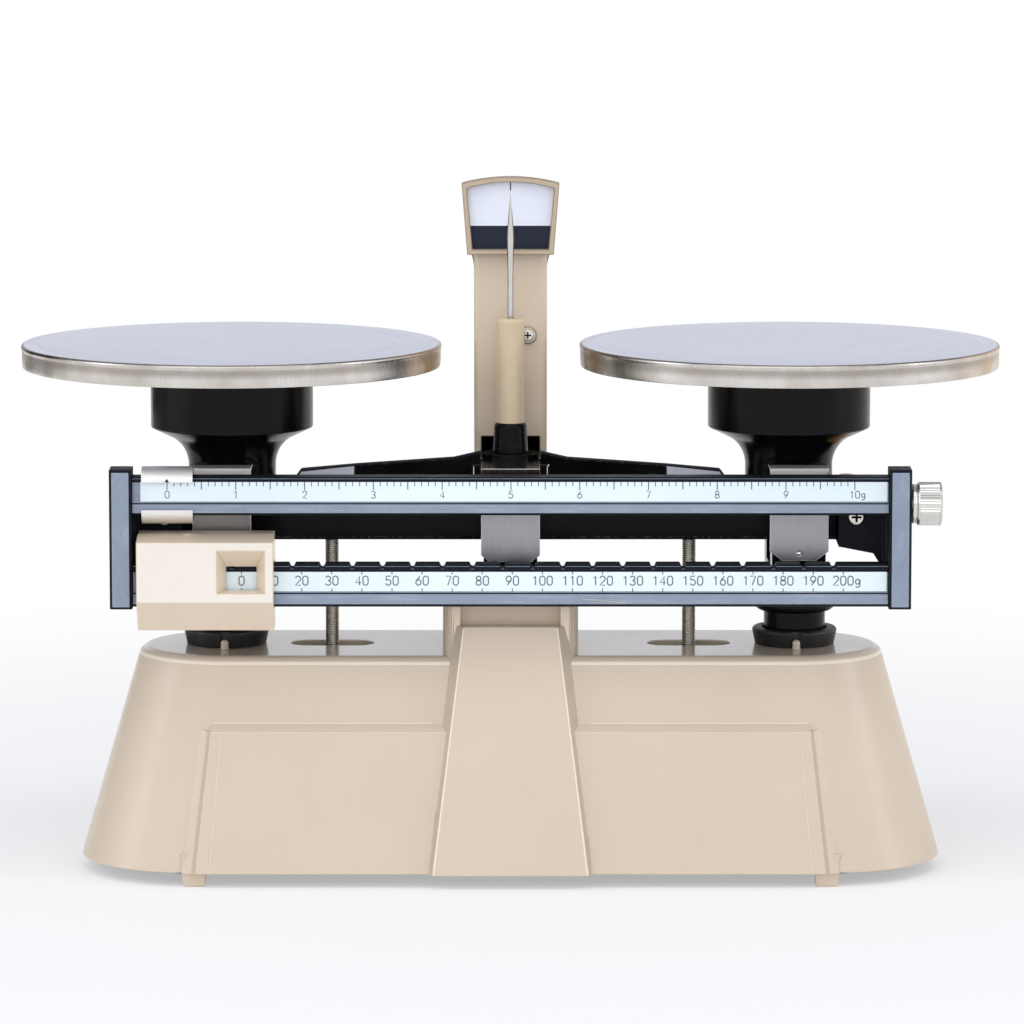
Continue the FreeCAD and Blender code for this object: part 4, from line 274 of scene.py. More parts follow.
# what the metals share
brushed = {"hairRange": (0.35, 0.7), "hairStrength": 0.3, "scratch": 0.001, "metallic": 1.0,
           "centre": (0, 0, 0)}
metals = {
    # stainless pan, faced on a lathe with fine emery: circular hairlines, cool grey
    "panTop": {"name": "TurnedStainless", "grain": "turned", "reach": 75, "hair": 1.1, "stroke": 60,
               "cloud": 60, "colour": "#EEF0F7", "drift": "#E5E7EF", "streak": "#CED0DB", "rubbed": "#D9D9DC",
               "hairStrength": 0.26, "gloss": (0.34, 0.44), "scratch": 0.002},
    # its rolled rim, linished across: short upright hairlines, with painted reflection in belts along its
    # height and in brown and straw tints at its sides
    "panRim": {"name": "LinishedStainless", "grain": "upright", "reach": 75, "hair": 0.5, "stroke": 14,
               "cloud": 13, "colour": "#F4F2F0", "drift": "#ABA197", "streak": "#B0A9A0", "rubbed": "#E4E2DE",
               "bands": [(0.12, 0.0), (0.34, 0.0), (0.58, 0.5), (0.73, 0.5), (0.8, 0.0), (0.92, 0.0),
                         (0.965, 0.9)], "lastBand": 0.75, "shade": "#6E6256", "leftTint": "#6B5846",
               "rightTint": "#CDB08A", "tintRange": (0.72, 0.98), "patchRange": (0.42, 0.58),
               "patchStrength": (0.25, 0.75), "gloss": (0.24, 0.38), "scratch": 0.0015},
    # brushed stainless cover plates: upright grain, satin
    "cover": {"name": "brushedStainless", "grain": "z", "hair": 0.45, "stroke": 18, "cloud": 22,
              "colour": "#A9A8AE", "drift": "#9D9BA1", "streak": "#918F95", "rubbed": "#DEDDDF",
              "gloss": (0.3, 0.42)},
    # bright nickel plate over steel: warm white, nearly mirror, lightly hazed
    "nickel": {"name": "brightNickelPlate", "grain": "x", "hair": 0.8, "stroke": 6, "cloud": 8,
               "colour": "#E0DEDA", "drift": "#D6D3CE", "streak": "#C6C3BD", "rubbed": "#EFEDEA",
               "gloss": (0.16, 0.26)},
    # the needle is plated over polished wire: sharp dark and bright lines along it
    "chrome": {"name": "polishedNickelWire", "grain": "z", "hair": 0.4, "stroke": 20, "cloud": 12,
               "colour": "#DAD8D5", "drift": "#CFCCC8", "streak": "#BDBAB5", "rubbed": "#EDEBE8",
               "gloss": (0.06, 0.14), "scratch": 0.0004},
    # rolled and polished folds of the cover plates: dark mirror that picks up the hub and the beam
    "polished": {"name": "polishedStainless", "grain": "x", "hair": 0.6, "stroke": 16, "cloud": 14,
                 "colour": "#A8A5A2", "drift": "#989592", "streak": "#84817E", "rubbed": "#E6E5E3",
                 "hairStrength": 0.4, "gloss": (0.1, 0.2), "scratch": 0.0008},
    # nickel left satin on the rider tube: even, bright, no sharp reflections
    "rider": {"name": "satinNickelPlate", "grain": "x", "hair": 0.6, "stroke": 9, "cloud": 9,
              "colour": "#F4F3F1", "drift": "#EBE9E6", "streak": "#DCD9D5", "rubbed": "#F8F7F6",
              "gloss": (0.42, 0.52)},
    # painted shade on steel: the needle's flanks and the fold over the fulcrum, darkened where they turn from
    # the light
    "shade": {"name": "oilDarkenedSteel", "grain": "z", "hair": 0.4, "stroke": 14, "cloud": 9,
              "colour": "#6A6158", "drift": "#584F47", "streak": "#48413B", "rubbed": "#97918A",
              "hairStrength": 0.4, "gloss": (0.2, 0.32), "scratch": 0.0008},
    # hardened and ground knife steel: grey with cross grinding lines
    "tool": {"name": "groundToolSteel", "grain": "y", "hair": 0.5, "stroke": 12, "cloud": 10,
             "colour": "#8C8C8E", "drift": "#7C7C80", "streak": "#626266", "rubbed": "#B4B4B8",
             "hairStrength": 0.6, "gloss": (0.25, 0.38), "scratch": 0.004},
    # oiled threaded bar: grey-brown steel, dark between the crests
    "thread": {"name": "oiledThreadSteel", "grain": "z", "hair": 0.5, "stroke": 5, "cloud": 7,
               "colour": "#DED8CF", "drift": "#C6C0B7", "streak": "#A09A91", "rubbed": "#CFCAC2",
               "hairStrength": 0.5, "gloss": (0.28, 0.42), "scratch": 0.004},
    # turned brass, dulled by air
    "brass": {"name": "turnedBrass", "grain": "y", "hair": 0.5, "stroke": 16, "cloud": 9,
              "colour": "#C29A57", "drift": "#A9813F", "streak": "#87642F", "rubbed": "#DDBB7C",
              "hairStrength": 0.5, "gloss": (0.22, 0.36), "scratch": 0.004},
}

mouldings = {
    # phenolic moulding of the pan supports: glossy black that holds soft highlights
    "phenolic": {"name": "blackPhenolicMoulding", "colour": "#08080A", "drift": "#0E0E11", "worn": "#2A2A2F",
                 "flow": 14, "rubStrength": 0.5, "gloss": (0.16, 0.27), "grain": 2.0, "grainDepth": 0.006,
                 "ior": 1.55, "specular": 0.12},
    # ivory urea moulding of the pointer sleeve: waxy, slightly mottled
    "ivory": {"name": "ivoryUreaMoulding", "colour": "#D5C2A4", "drift": "#C9B492", "worn": "#DACBA9",
              "flow": 9, "rubStrength": 0.5, "gloss": (0.34, 0.46), "grain": 0.8, "grainDepth": 0.01,
              "ior": 1.55, "bleed": 0.08, "bleedReach": 0.002},
    # black rubber collars: dull, greyed where it flexes
    "rubber": {"name": "blackMouldedRubber", "colour": "#0F0F10", "drift": "#191919", "worn": "#38383A",
               "flow": 6, "rubStrength": 0.5, "gloss": (0.4, 0.55), "grain": 0.6, "grainDepth": 0.015,
               "ior": 1.52},
}

# near twins: the finish each starts from and what differs
twins = {
    # the level deck took the enamel thickest: it mirrors the collars and rods
    "deck": ("beige", {"name": "glossBeigeEnamel", "gloss": (0.3, 0.4), "peel": 3.5, "peelDepth": 0.006,
                       "scuffSize": (9, 1.2, 9), "specular": 0.35, "coat": 0.8, "coatHaze": 0.06}),
    # painted highlights on the rounded edges and the deck's rounded rim: fine light outlines
    "beigeEdge": ("beige", {"name": "paleEdgeEnamel", "colour": "#EFE4D5", "drift": "#E7DBCB", "cloud": 20,
                            "worn": "#F2E9DC", "rubStrength": 0.4, "gloss": (0.26, 0.36), "peelDepth": 0.008,
                            "coat": 0.0}),
    # painted shade on walls turned from the light and in the bands along the panel's borders, painted
    # highlight on the panel's border lines, painted light on the pedestal's faces
    "beigeShade": ("beige", {"name": "shadedBeigeEnamel", "colour": "#C3B4A0", "drift": "#BAAA95"}),
    "beigePale": ("beige", {"name": "paleBeigeEnamel", "colour": "#E3D7C6", "drift": "#DACCB8"}),
    "beigeWarm": ("beige", {"name": "warmBeigeEnamel", "colour": "#F3DFC8", "drift": "#EBD5BB"}),
    # painted shade: where the poise turns away from the light its coat is painted a warm tan
    "tan": ("cream", {"name": "stovedTanEnamel", "colour": "#E2D1BA", "drift": "#DAC7AE", "worn": "#EFE4D4",
                      "nibColour": "#B9A88F", "rubStrength": 0.4}),
    # a darker mix on the dial tray, and the beam's tops dulled by dust
    "dialFawn": ("fawn", {"name": "dialFawnEnamel", "colour": "#BCAA92", "drift": "#B3A189"}),
    "blackMatt": ("black", {"name": "dullBlackEnamel", "gloss": (0.6, 0.72), "rubStrength": 0.2,
                            "specular": 0.05}),
    # the caps' lacquer in upright blotches, and the lacquer rubbed pale in the rails' scuffs
    "endSlate": ("slate", {"name": "blotchedSlateLacquer", "scuffSize": (2.5, 4, 7), "scuffStrength": 0.2}),
    "rubbedSlate": ("slate", {"name": "rubbedSlateLacquer", "colour": "#B0B4BA", "drift": "#A2A7AF"}),
    # painted shade: the left cover darkened for the shade of the rail and poise and the dark parts it mirrors
    "coverDull": ("cover", {"name": "dulledStainless", "colour": "#8E8A87", "drift": "#827E7B",
                            "streak": "#75716E"}),
}
for key, (start, changes) in twins.items():
    family = metals if start in metals else enamels
    family[key] = {**family[start], **changes}

finish = {key: sprayedFinish(look) for key, look in enamels.items()}
finish.update({key: brushedFinish(look) for key, look in metals.items() if key not in ("panTop", "panRim")})
finish.update({key: mouldedFinish(look) for key, look in mouldings.items()})
print("materials mixed:", len(finish))

bodyOf = {node: piece["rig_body"] for node, piece in frame["nodes"].items()}
slotOf = {row["node"]: row["material_slot"] for row in frame["record"]["subparts"]}


def addObject(name, data):
    thing = bpy.data.objects.new(name, data)
    scene.collection.objects.link(thing)
    return thing


def addMesh(name, bm, materials):
    mesh = bpy.data.meshes.new(name)
    bm.normal_update()
    bm.to_mesh(mesh)
    bm.free()
    for material in materials:
        mesh.materials.append(material)
    return addObject(name, mesh)


def addPiece(name, bm, keys, node, nodes=(), sharp=40):
    body, slot = bodyOf[node], slotOf[node]
    piece = addMesh(name, bm, [finish[key] for key in keys])
    piece.data.shade_smooth()
    piece.data.set_sharp_from_angle(angle=math.radians(sharp))
    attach(piece, body)
    if nodes:
        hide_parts(*nodes)
    return piece


# each carried-over part: its finish, the radius its edges are broken to and, where it has them,
# the wide radius of its front and back edges and the height of its fold, all in millimetres
dressing = {
    "base_housing": ("beige", 0.45, 1.1), "bottom_plate": ("primer", 0.15), "fulcrum_stand": ("black", 0.4),
    "fulcrum_bearings": ("tool", 0.1), "pointer_tower": ("fawn", 0.4), "dial_frame": ("dialFawn", 0.3),
    "dial_plate": ("dialWhite", 0.05), "check_bracket": ("primer", 0.3), "check_pin": ("tool", 0.15),
    "check_beam": ("black", 0.3), "check_bushes": ("brass", 0.1), "main_beam": ("black", 0.4),
    "fulcrum_knife": ("tool", 0.05), "fulcrum_cover": ("cover", 0.2, 0.0, 3.8), "upper_rail": ("slate", 0.2),
    "lower_rail": ("slate", 0.2), "upper_scale": ("scaleWhite", 0.05), "lower_scale": ("scaleWhite", 0.05),
    "zero_stud": ("thread", 0.1), "pointer_hub": ("black", 0.2), "pointer_sleeve": ("ivory", 0.15),
    "stop_nuts": ("nickel", 0.2), "counterweight": ("brass", 0.2), "poise_shell": ("cream", 0.35),
    "poise_back": ("cream", 0.15), "poise_pawl": ("tool", 0.1), "rider_clip": ("rider", 0.08),
    # the left covers in painted shade
    "left_knife_covers": ("coverDull", 0.2, 0.0, 3.8), "right_knife_covers": ("cover", 0.2, 0.0, 3.8),
}
# parts that come once on each side
twoSided = {"stem_collar": ("rubber", 0.3), "knife": ("tool", 0.05), "end_bracket": ("endSlate", 0.25),
            "pan_support": ("phenolic", 0.4), "bearings": ("tool", 0.1), "cover_rivets": ("nickel", 0.05),
            "stem": ("phenolic", 0.3), "stem_pin": ("tool", 0.1), "pan_spigot": ("nickel", 0.1)}
for side in ("left", "right"):
    dressing.update({side + "_" + part: look for part, look in twoSided.items()})

# angles in degrees, lengths in millimetres
dressRule = {"weld": 0.001, "flat": 0.3, "corner": 30, "samples": 12, "wideFrom": (25.0, 12.0)}
# where the finish of a part changes, in millimetres from the middle or from the table
zone = {"deck": 78.2, "foot": 16.0, "panel": 100.0, "buttress": 45.0, "wall": 92.0, "pedestal": 90.0,
        "fulcrum": (10.0, 14.5), "bridge": 147.2, "wing": 50.0, "fold": 146.2, "foldHalf": 22.0, "cap": -45.0}


def cornersOf(bm):
    limit = math.radians(dressRule["corner"])
    return [e for e in bm.edges if len(e.link_faces) == 2 and e.calc_face_angle(0) > limit]


def dress(node, key, radius, wide=0.0, cut=0.0):
    bm = bmesh.new()
    bm.from_mesh(frame["nodes"][node].data)
    bmesh.ops.remove_doubles(bm, verts=bm.verts, dist=dressRule["weld"] * mm)
    flat = math.radians(dressRule["flat"])
    bmesh.ops.dissolve_limit(bm, angle_limit=flat, verts=bm.verts, edges=bm.edges)
    if cut:  # part the sheet just below its fold, so the fold takes a finish of its own
        top = max(vert.co.z for vert in bm.verts) - cut * mm
        half = zone["foldHalf"] * mm
        for spot, across in (((0, 0, top), (0, 0, 1)), ((0, -half, 0), (0, 1, 0)), ((0, half, 0), (0, 1, 0))):
            parts = bm.verts[:] + bm.edges[:] + bm.faces[:]
            bmesh.ops.bisect_plane(bm, geom=parts, plane_co=spot, plane_no=across)
    worn, crevice = bm.faces.layers.float.new("edgeWear"), bm.faces.layers.float.new("crevice")
    corners = cornersOf(bm)
    count = dressRule["samples"]
    spots = [(edge.verts[0].co.lerp(edge.verts[1].co, k / count), edge.is_convex)
             for edge in corners for k in range(count + 1)]
    nearest = KDTree(len(spots))
    for k, (spot, convex) in enumerate(spots):
        nearest.insert(spot, k)
    nearest.balance()
    made = []
    if wide:  # the casting's front and back edges carry a generous radius
        fromY, fromZ = (limit * mm for limit in dressRule["wideFrom"])
        front = [e for e in corners if min(abs(v.co.y) for v in e.verts) > fromY
                 and min(v.co.z for v in e.verts) > fromZ]
        made += bmesh.ops.bevel(bm, geom=front, offset=wide * mm, segments=4, profile=0.5, affect="EDGES",
                                clamp_overlap=True)["faces"]
        rounded = set(made)
        corners = [e for e in cornersOf(bm) if not rounded.intersection(e.link_faces)]
    made += bmesh.ops.bevel(bm, geom=corners, offset=radius * mm, segments=3, profile=0.5, affect="EDGES",
                            clamp_overlap=False)["faces"]
    for face in made:
        if face.is_valid:
            convex = spots[nearest.find(face.calc_center_median())[1]][1] if spots else True
            face[worn], face[crevice] = float(convex), float(not convex)
    piece = addPiece(node + "_dressed", bm, [key], node, [node])
    piece.modifiers.new("faceNormals", "WEIGHTED_NORMAL").keep_sharp = True
    return piece


dressed = {node: dress(node, *look) for node, look in dressing.items()}
print("parts dressed:", len(dressed))


# parts of a face's normal along an axis: 1 looks straight along it
facing = {"front": -0.97, "lip": -0.06, "cap": -0.9, "level": 0.8, "wall": 0.3, "upright": 0.9, "top": 0.5,
          "rim": (0.25, 0.45), "slopeY": (0.7, 0.85), "slopeZ": (0.5, 0.7), "fold": 0.3, "tray": 0.5}


def railFace(normal, place, edge):
    # blue-grey on the faces that look forward, near black as painted shade on tops, lips and backs
    return int(normal.y > facing["front"] or normal.z < facing["lip"])


def capFace(normal, place, edge):
    # blotched lacquer on the cap's front, near black as painted shade on its sides and on the arm behind
    return int(normal.y > facing["cap"] or place.y > zone["cap"])


def baseFace(normal, place, edge):
    # 1 level deck, 2 painted highlights on edges and the deck's rim, 3 painted shade on buttress walls and
    # upper corners, 4 painted light on pedestal faces
    high, across = place.z > zone["deck"], abs(place.x)
    if high and normal.z > facing["level"]:
        return 1
    turned = abs(normal.x) > facing["wall"]
    if across < zone["buttress"] and turned and (high if edge else place.z < zone["wall"]):
        return 3
    if place.z > zone["pedestal"] and abs(normal.y) > facing["upright"]:
        return 4
    start, end = facing["rim"]
    # edges above the foot and the sloping faces of the deck's rounding take a painted highlight
    rubbed = edge and place.z > zone["foot"] and (across < zone["panel"] or high)
    return 2 if rubbed or high and start < normal.z < end else 0


def beamFace(normal, place, edge):
    # painted sheen on the slopes at the wing tips, painted highlights in bright nickel on the broken edges
    # beside the fulcrum, dulled tops
    (lowY, highY), (lowZ, highZ) = facing["slopeY"], facing["slopeZ"]
    slope = lowY < abs(normal.y) < highY and lowZ < normal.z < highZ and not edge
    start, end = zone["fulcrum"]
    inner = edge and start < abs(place.x) < end and place.z < zone["bridge"]
    tip = slope and abs(place.x) > zone["wing"]
    return 1 if tip else 2 if inner else 3 if normal.z > facing["top"] else 0


def foldFace(normal, place, edge):
    # above the cut: the fold's front, and the top's far corners, take a painted highlight on the knife covers
    # and painted shade on the fulcrum cover; the dark mirror lies further back
    if normal.z < facing["fold"]:
        return int(place.z > zone["fold"])
    return 1 if abs(place.y) > zone["foldHalf"] and abs(place.x) > zone["wing"] else 2


# further finishes of dressed parts and the rule that picks one for each face
moreFinish = {
    "upper_rail": (["midnight"], railFace), "lower_rail": (["midnight"], railFace),
    "left_end_bracket": (["midnight"], capFace), "right_end_bracket": (["midnight"], capFace),
    # the poise shell: cream on its front, the tan as painted shade on every other face
    "poise_shell": (["tan"], lambda normal, place, edge: int(normal.y > facing["front"])),
    "base_housing": (["deck", "beigeEdge", "beigeShade", "beigeWarm"], baseFace),
    # painted shade on the tower's broken edges
    "pointer_tower": (["umber"], lambda normal, place, edge: int(edge)),
    # the beam: painted sheen on the tip slopes, painted highlights on the edges beside the fulcrum
    "main_beam": (["wingSlope", "nickel", "blackMatt"], beamFace),
    # painted shade on the dial tray's walls and broken edges
    "dial_frame": (["umber"], lambda normal, place, edge: int(edge or abs(normal.y) < facing["tray"])),
    # fold fronts: painted shade on the fulcrum cover, a painted highlight in bright nickel on the knife
    # covers
    "fulcrum_cover": (["shade", "polished"], foldFace),
    "left_knife_covers": (["rider", "polished"], foldFace),
    "right_knife_covers": (["rider", "polished"], foldFace),
}
for node, (keys, rule) in moreFinish.items():
    mesh = dressed[node].data
    for key in keys:
        mesh.materials.append(finish[key])
    wear = mesh.attributes["edgeWear"].data
    for face in mesh.polygons:
        face.material_index = rule(face.normal, face.center / mm, wear[face.index].value > 0.5)

stripLift = 0.8  # the scale strips stop short of the rail's lower lip
for node in ("upper_scale", "lower_scale"):
    low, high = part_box(node)
    for vert in dressed[node].data.vertices:
        if vert.co.z < (low.z + high.z) / 2:
            vert.co.z += stripLift * mm
print("further finishes laid on")


def around(steps):
    return [(math.cos(2 * math.pi * k / steps), math.sin(2 * math.pi * k / steps)) for k in range(steps)]


def oval(x, z, wide, tall, start, end, count=14):
    turns = [math.radians(start + (end - start) * k / count) for k in range(count + 1)]
    return [(x + wide * math.cos(turn), z + tall * math.sin(turn)) for turn in turns]


def between(ends, share):
    return Vector(ends[0]).lerp(Vector(ends[1]), share)


def swept(bm, rings, closed=True):
    # join rings of points into a skin and close both ends
    loops = [[bm.verts.new([value * mm for value in point]) for point in ring] for ring in rings]
    for low, high in zip(loops, loops[1:]):
        for k in range(len(low)):
            bm.faces.new([low[k - 1], low[k], high[k], high[k - 1]])
    if closed:
        bm.faces.new(loops[0])
        bm.faces.new(loops[-1])
    return loops


# the panel's end walls lean out to the feet: points along the panel edge and along the body
ribLook = {"panel": ((106.3, -37.2, 54.8), (111.8, -43.8, 5.0)), "rows": 6, "crest": 0.3, "bulge": 0.25,
           "body": ((109.8, -34.9, 55.6), (116.6, -42.0, 5.0)), "sink": (-1, 3.0, 0)}
bm = bmesh.new()
for flipX in (1, -1):
    for flipY in (1, -1):
        rings = []
        for row in range(ribLook["rows"] + 1):
            near, far = (between(ribLook[key], row / ribLook["rows"]) for key in ("panel", "body"))
            middle = near.lerp(far, ribLook["crest"]) + Vector((0, -ribLook["bulge"], 0))
            sink = Vector(ribLook["sink"])
            ring = [near, middle, far, far + sink, near + sink]
            rings.append([(spot.x * flipX, spot.y * flipY, spot.z) for spot in ring])
        loops = swept(bm, rings)
        for low, high in zip(loops, loops[1:]):  # the strip beside the panel takes painted shade
            next(f for f in low[0].link_faces if low[1] in f.verts and high[0] in f.verts).material_index = 1
bmesh.ops.recalc_face_normals(bm, faces=bm.faces)
addPiece("base_panel_ribs", bm, ["beige", "beigeShade"], "base_housing")
print("panel ribs raised")

# borders of the raised panel: a band of painted shade with a painted highlight line on its inner side down
# each end, a painted highlight line along the top
borderLook = {"inner": ((102.4, 54.7), (106.6, 5.4)), "outer": ((106.5, 54.7), (111.9, 5.4)), "line": 0.4,
              "top": (57.5, 58.0), "ends": (28.0, 105.5), "proud": 0.08, "rows": 14, "lengths": 20,
              "castFrom": 60.0, "weld": 0.01}
shell = dressed["base_housing"].data
skin = BVHTree.FromPolygons([vert.co for vert in shell.vertices],
                            [face.vertices[:] for face in shell.polygons])


def onBase(x, z, side):
    start = Vector((x, side * borderLook["castFrom"], z)) * mm
    spot = skin.ray_cast(start, Vector((0, -side, 0)))[0]
    return (spot.x, spot.y + side * borderLook["proud"] * mm, spot.z)


bm = bmesh.new()
bottom, top = borderLook["top"]
start, end = borderLook["ends"]
for flip in (1, -1):
    for side in (-1, 1):
        rows = []
        for row in range(borderLook["rows"] + 1):
            share = row / borderLook["rows"]
            (near, z), (far, z) = (between(borderLook[key], share) for key in ("inner", "outer"))
            rows.append([(flip * near, z), (flip * (near + borderLook["line"]), z), (flip * far, z)])
        strips = [([a[k], a[k + 1], b[k + 1], b[k]], k) for a, b in zip(rows, rows[1:]) for k in (0, 1)]
        count = borderLook["lengths"]
        x = [flip * (start + (end - start) * k / count) for k in range(count + 1)]
        strips += [([(a, bottom), (b, bottom), (b, top), (a, top)], 0) for a, b in zip(x, x[1:])]
        for corners, tone in strips:
            face = bm.faces.new([bm.verts.new(onBase(*corner, side)) for corner in corners])
            face.material_index = tone
            face.normal_update()
            if face.normal.y * side < 0:
                face.normal_flip()
bmesh.ops.remove_doubles(bm, verts=bm.verts, dist=borderLook["weld"] * mm)
addPiece("base_panel_borders", bm, ["beigePale", "beigeShade"], "base_housing")
print("panel borders drawn")

# a pan from the middle out: rings of the plate, a rolled bead, a drawn wall and a hem, then back inside
panLook = {"steps": 192, "radius": 75.0, "sheet": 1.0, "edge": 0.9, "skirt": 8.0, "lip": 0.3, "tuck": 0.3,
           "plate": (0, 0.5, 20, 45), "neck": 2.3, "swell": (2.4, 1.2), "draw": 0.1, "hem": 0.15,
           "inside": 0.3, "fillet": 0.8, "rimRows": 19}


def turned(bm, profile, x, y, steps, indices):
    # sweep (radius, height) points in millimetres round an upright axis through x, y
    rings = []
    for radius, height in profile:
        spots = around(steps) if radius else [(0, 0)]
        rings.append([bm.verts.new(((x + radius * u) * mm, (y + radius * v) * mm, height * mm))
                      for u, v in spots])
    for low, high, index in zip(rings, rings[1:], indices):
        for k in range(steps):
            after = k + 1
            corners = [low[k % len(low)], low[after % len(low)], high[after % len(high)], high[k % len(high)]]
            bm.faces.new(list(dict.fromkeys(corners))).material_index = index


for side in ("left", "right"):
    low, high = (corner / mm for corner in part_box(side + "_pan"))
    x, y, top = (low.x + high.x) / 2, (low.y + high.y) / 2, high.z
    foot = top - panLook["skirt"]
    outer, edge, lip, fillet = (panLook[key] for key in ("radius", "edge", "lip", "fillet"))
    wall, inner, under = outer - panLook["tuck"], outer - panLook["sheet"], top - panLook["sheet"]
    profile = [(reach, top) for reach in panLook["plate"]]
    profile += oval(outer - edge, top - edge, edge, edge, 90, -40, 10)
    profile += [(wall, top - edge * panLook["neck"]), (wall, foot + panLook["swell"][0]),
                (wall - panLook["draw"], foot + panLook["swell"][1])]
    profile += oval(wall - panLook["hem"] - lip, foot + lip, lip, lip, 0, -90, 3)
    profile += oval(inner - panLook["inside"] + lip, foot + lip, lip, lip, -90, -180, 3)
    profile += oval(inner - fillet, under - fillet, fillet, fillet, 0, 90, 4)
    profile += [(reach, under) for reach in reversed(panLook["plate"])]
    first, rim = len(panLook["plate"]), panLook["rimRows"]
    indices = [0] * first + [1] * rim + [0] * (len(profile) - 1 - first - rim)
    for key in ("panTop", "panRim"):
        look = {**metals[key], "centre": (x * mm, y * mm, 0), "name": side + metals[key]["name"]}
        finish[side + key] = brushedFinish(look)
    bm = bmesh.new()
    turned(bm, profile, x, y, panLook["steps"], indices)
    bmesh.ops.recalc_face_normals(bm, faces=bm.faces)
    node = side + "_pan"
    pan = addPiece(node + "_spun", bm, [side + "panTop", side + "panRim"], node, [node], sharp=30)
    layer = pan.data.attributes.new("rimHeight", "FLOAT", "POINT")
    for vert, cell in zip(pan.data.vertices, layer.data):
        cell.value = (vert.co.z / mm - foot) / (top - foot)
print("pans spun")

rodLook = {"steps": 28, "rows": 6, "pitch": 0.8, "depth": 0.22}  # coarse M5 thread
low, high = (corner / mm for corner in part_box("stop_rods"))
radius, count = high.y, int((high.z - low.z) / rodLook["pitch"] * rodLook["rows"])
bm = bmesh.new()
for x in (low.x + radius, high.x - radius):
    rings = []
    for row in range(count + 1):
        z = low.z + (high.z - low.z) * row / count
        ring = []
        for k, (u, v) in enumerate(around(rodLook["steps"])):
            phase = (z / rodLook["pitch"] - k / rodLook["steps"]) % 1.0
            reach = radius - rodLook["depth"] * abs(2 * phase - 1)
            ring.append((x + reach * u, reach * v, z))
        rings.append(ring)
    swept(bm, rings)
bmesh.ops.recalc_face_normals(bm, faces=bm.faces)
addPiece("stop_rods_threaded", bm, ["thread"], "stop_rods", ["stop_rods"], sharp=80)
print("rods threaded")

# pointer needle: (height, half width, half depth) of round wire drawn out to a flat blade, its flanks in
# painted shade
needleLook = {"stations": [(186.3, 0.9, 0.9), (186.5, 1.0, 1.0), (213.0, 1.0, 1.0), (216.5, 1.02, 0.9),
                           (221.0, 1.15, 0.7), (225.0, 1.29, 0.5), (227.0, 1.35, 0.44), (229.5, 1.24, 0.42),
                           (236.0, 0.64, 0.38), (243.1, 0.04, 0.3)], "steps": 32, "flank": 0.72}
bm = bmesh.new()
loops = swept(bm, [[(wide * u, deep * v, z) for u, v in around(needleLook["steps"])]
                   for z, wide, deep in needleLook["stations"]])
for low, high in zip(loops, loops[1:]):
    for k in range(needleLook["steps"]):
        turn = 2 * math.pi * (k - 0.5) / needleLook["steps"]
        face = next(f for f in low[k].link_faces if low[k - 1] in f.verts and high[k] in f.verts)
        face.material_index = int(abs(math.cos(turn)) > needleLook["flank"])
bmesh.ops.recalc_face_normals(bm, faces=bm.faces)
addPiece("pointer_needle_drawn", bm, ["chrome", "shade"], "pointer_needle", ["pointer_needle"], sharp=60)
print("needle drawn")

# zero nut and its lock ring: straight knurl between two plain bands
nutLooks = {
    "zero_knob": {"teeth": 50, "depth": 0.24, "edge": 0.6, "band": 0.7},
    "zero_ring": {"teeth": 50, "depth": 0.05, "edge": 0.3, "band": 0.4},
}
nutCut = {"bore": 1.6, "bevel": 0.3, "seat": (2.2, 2.6), "runOut": 0.12, "skim": 0.04,
          "tooth": (0, 0.5, 1, 0.5)}
for node, look in nutLooks.items():
    low, high = (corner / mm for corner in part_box(node))
    radius, y, z = (high.z - low.z) / 2, (low.y + high.y) / 2, (low.z + high.z) / 2
    edge, band = look["edge"], look["band"]
    bevel, ends = edge * nutCut["bevel"], band + nutCut["runOut"]
    seat, sunk = (radius - edge * share for share in nutCut["seat"])
    # place along the axis, radius, and whether the knurl is cut there
    stations = [(low.x, radius - edge * nutCut["bore"], 0), (low.x, radius - edge, 0),
                (low.x + bevel, radius - bevel, 0), (low.x + edge, radius, 0), (low.x + band, radius, 0),
                (low.x + ends, radius, 1), (high.x - ends, radius, 1), (high.x - band, radius, 0),
                (high.x - edge, radius, 0), (high.x - bevel, radius - bevel, 0), (high.x, radius - edge, 0),
                (high.x, seat, 0), (high.x - bevel, sunk, 0)]
    rings = []
    for x, reach, cut in stations:
        ring = []
        for k, (u, v) in enumerate(around(look["teeth"] * 4)):
            depth = cut * (look["depth"] * nutCut["tooth"][k % 4] + nutCut["skim"])
            ring.append((x, y + (reach - depth) * u, z + (reach - depth) * v))
        rings.append(ring)
    bm = bmesh.new()
    swept(bm, rings)
    bmesh.ops.recalc_face_normals(bm, faces=bm.faces)
    addPiece(node + "_knurled", bm, ["nickel"], node, [node], sharp=35)
print("zero nut knurled")

# cross-recess pan heads: the axis each set lies along and the side its heads are on, 0 for both sides
screwLooks = {"panel_screw": (1, -1), "arm_screws": (1, -1), "tower_screws": (1, 1), "stand_screws": (2, 1),
              "bottom_screws": (2, -1), "bracket_screws": (2, -1), "rail_screws": (0, 0)}
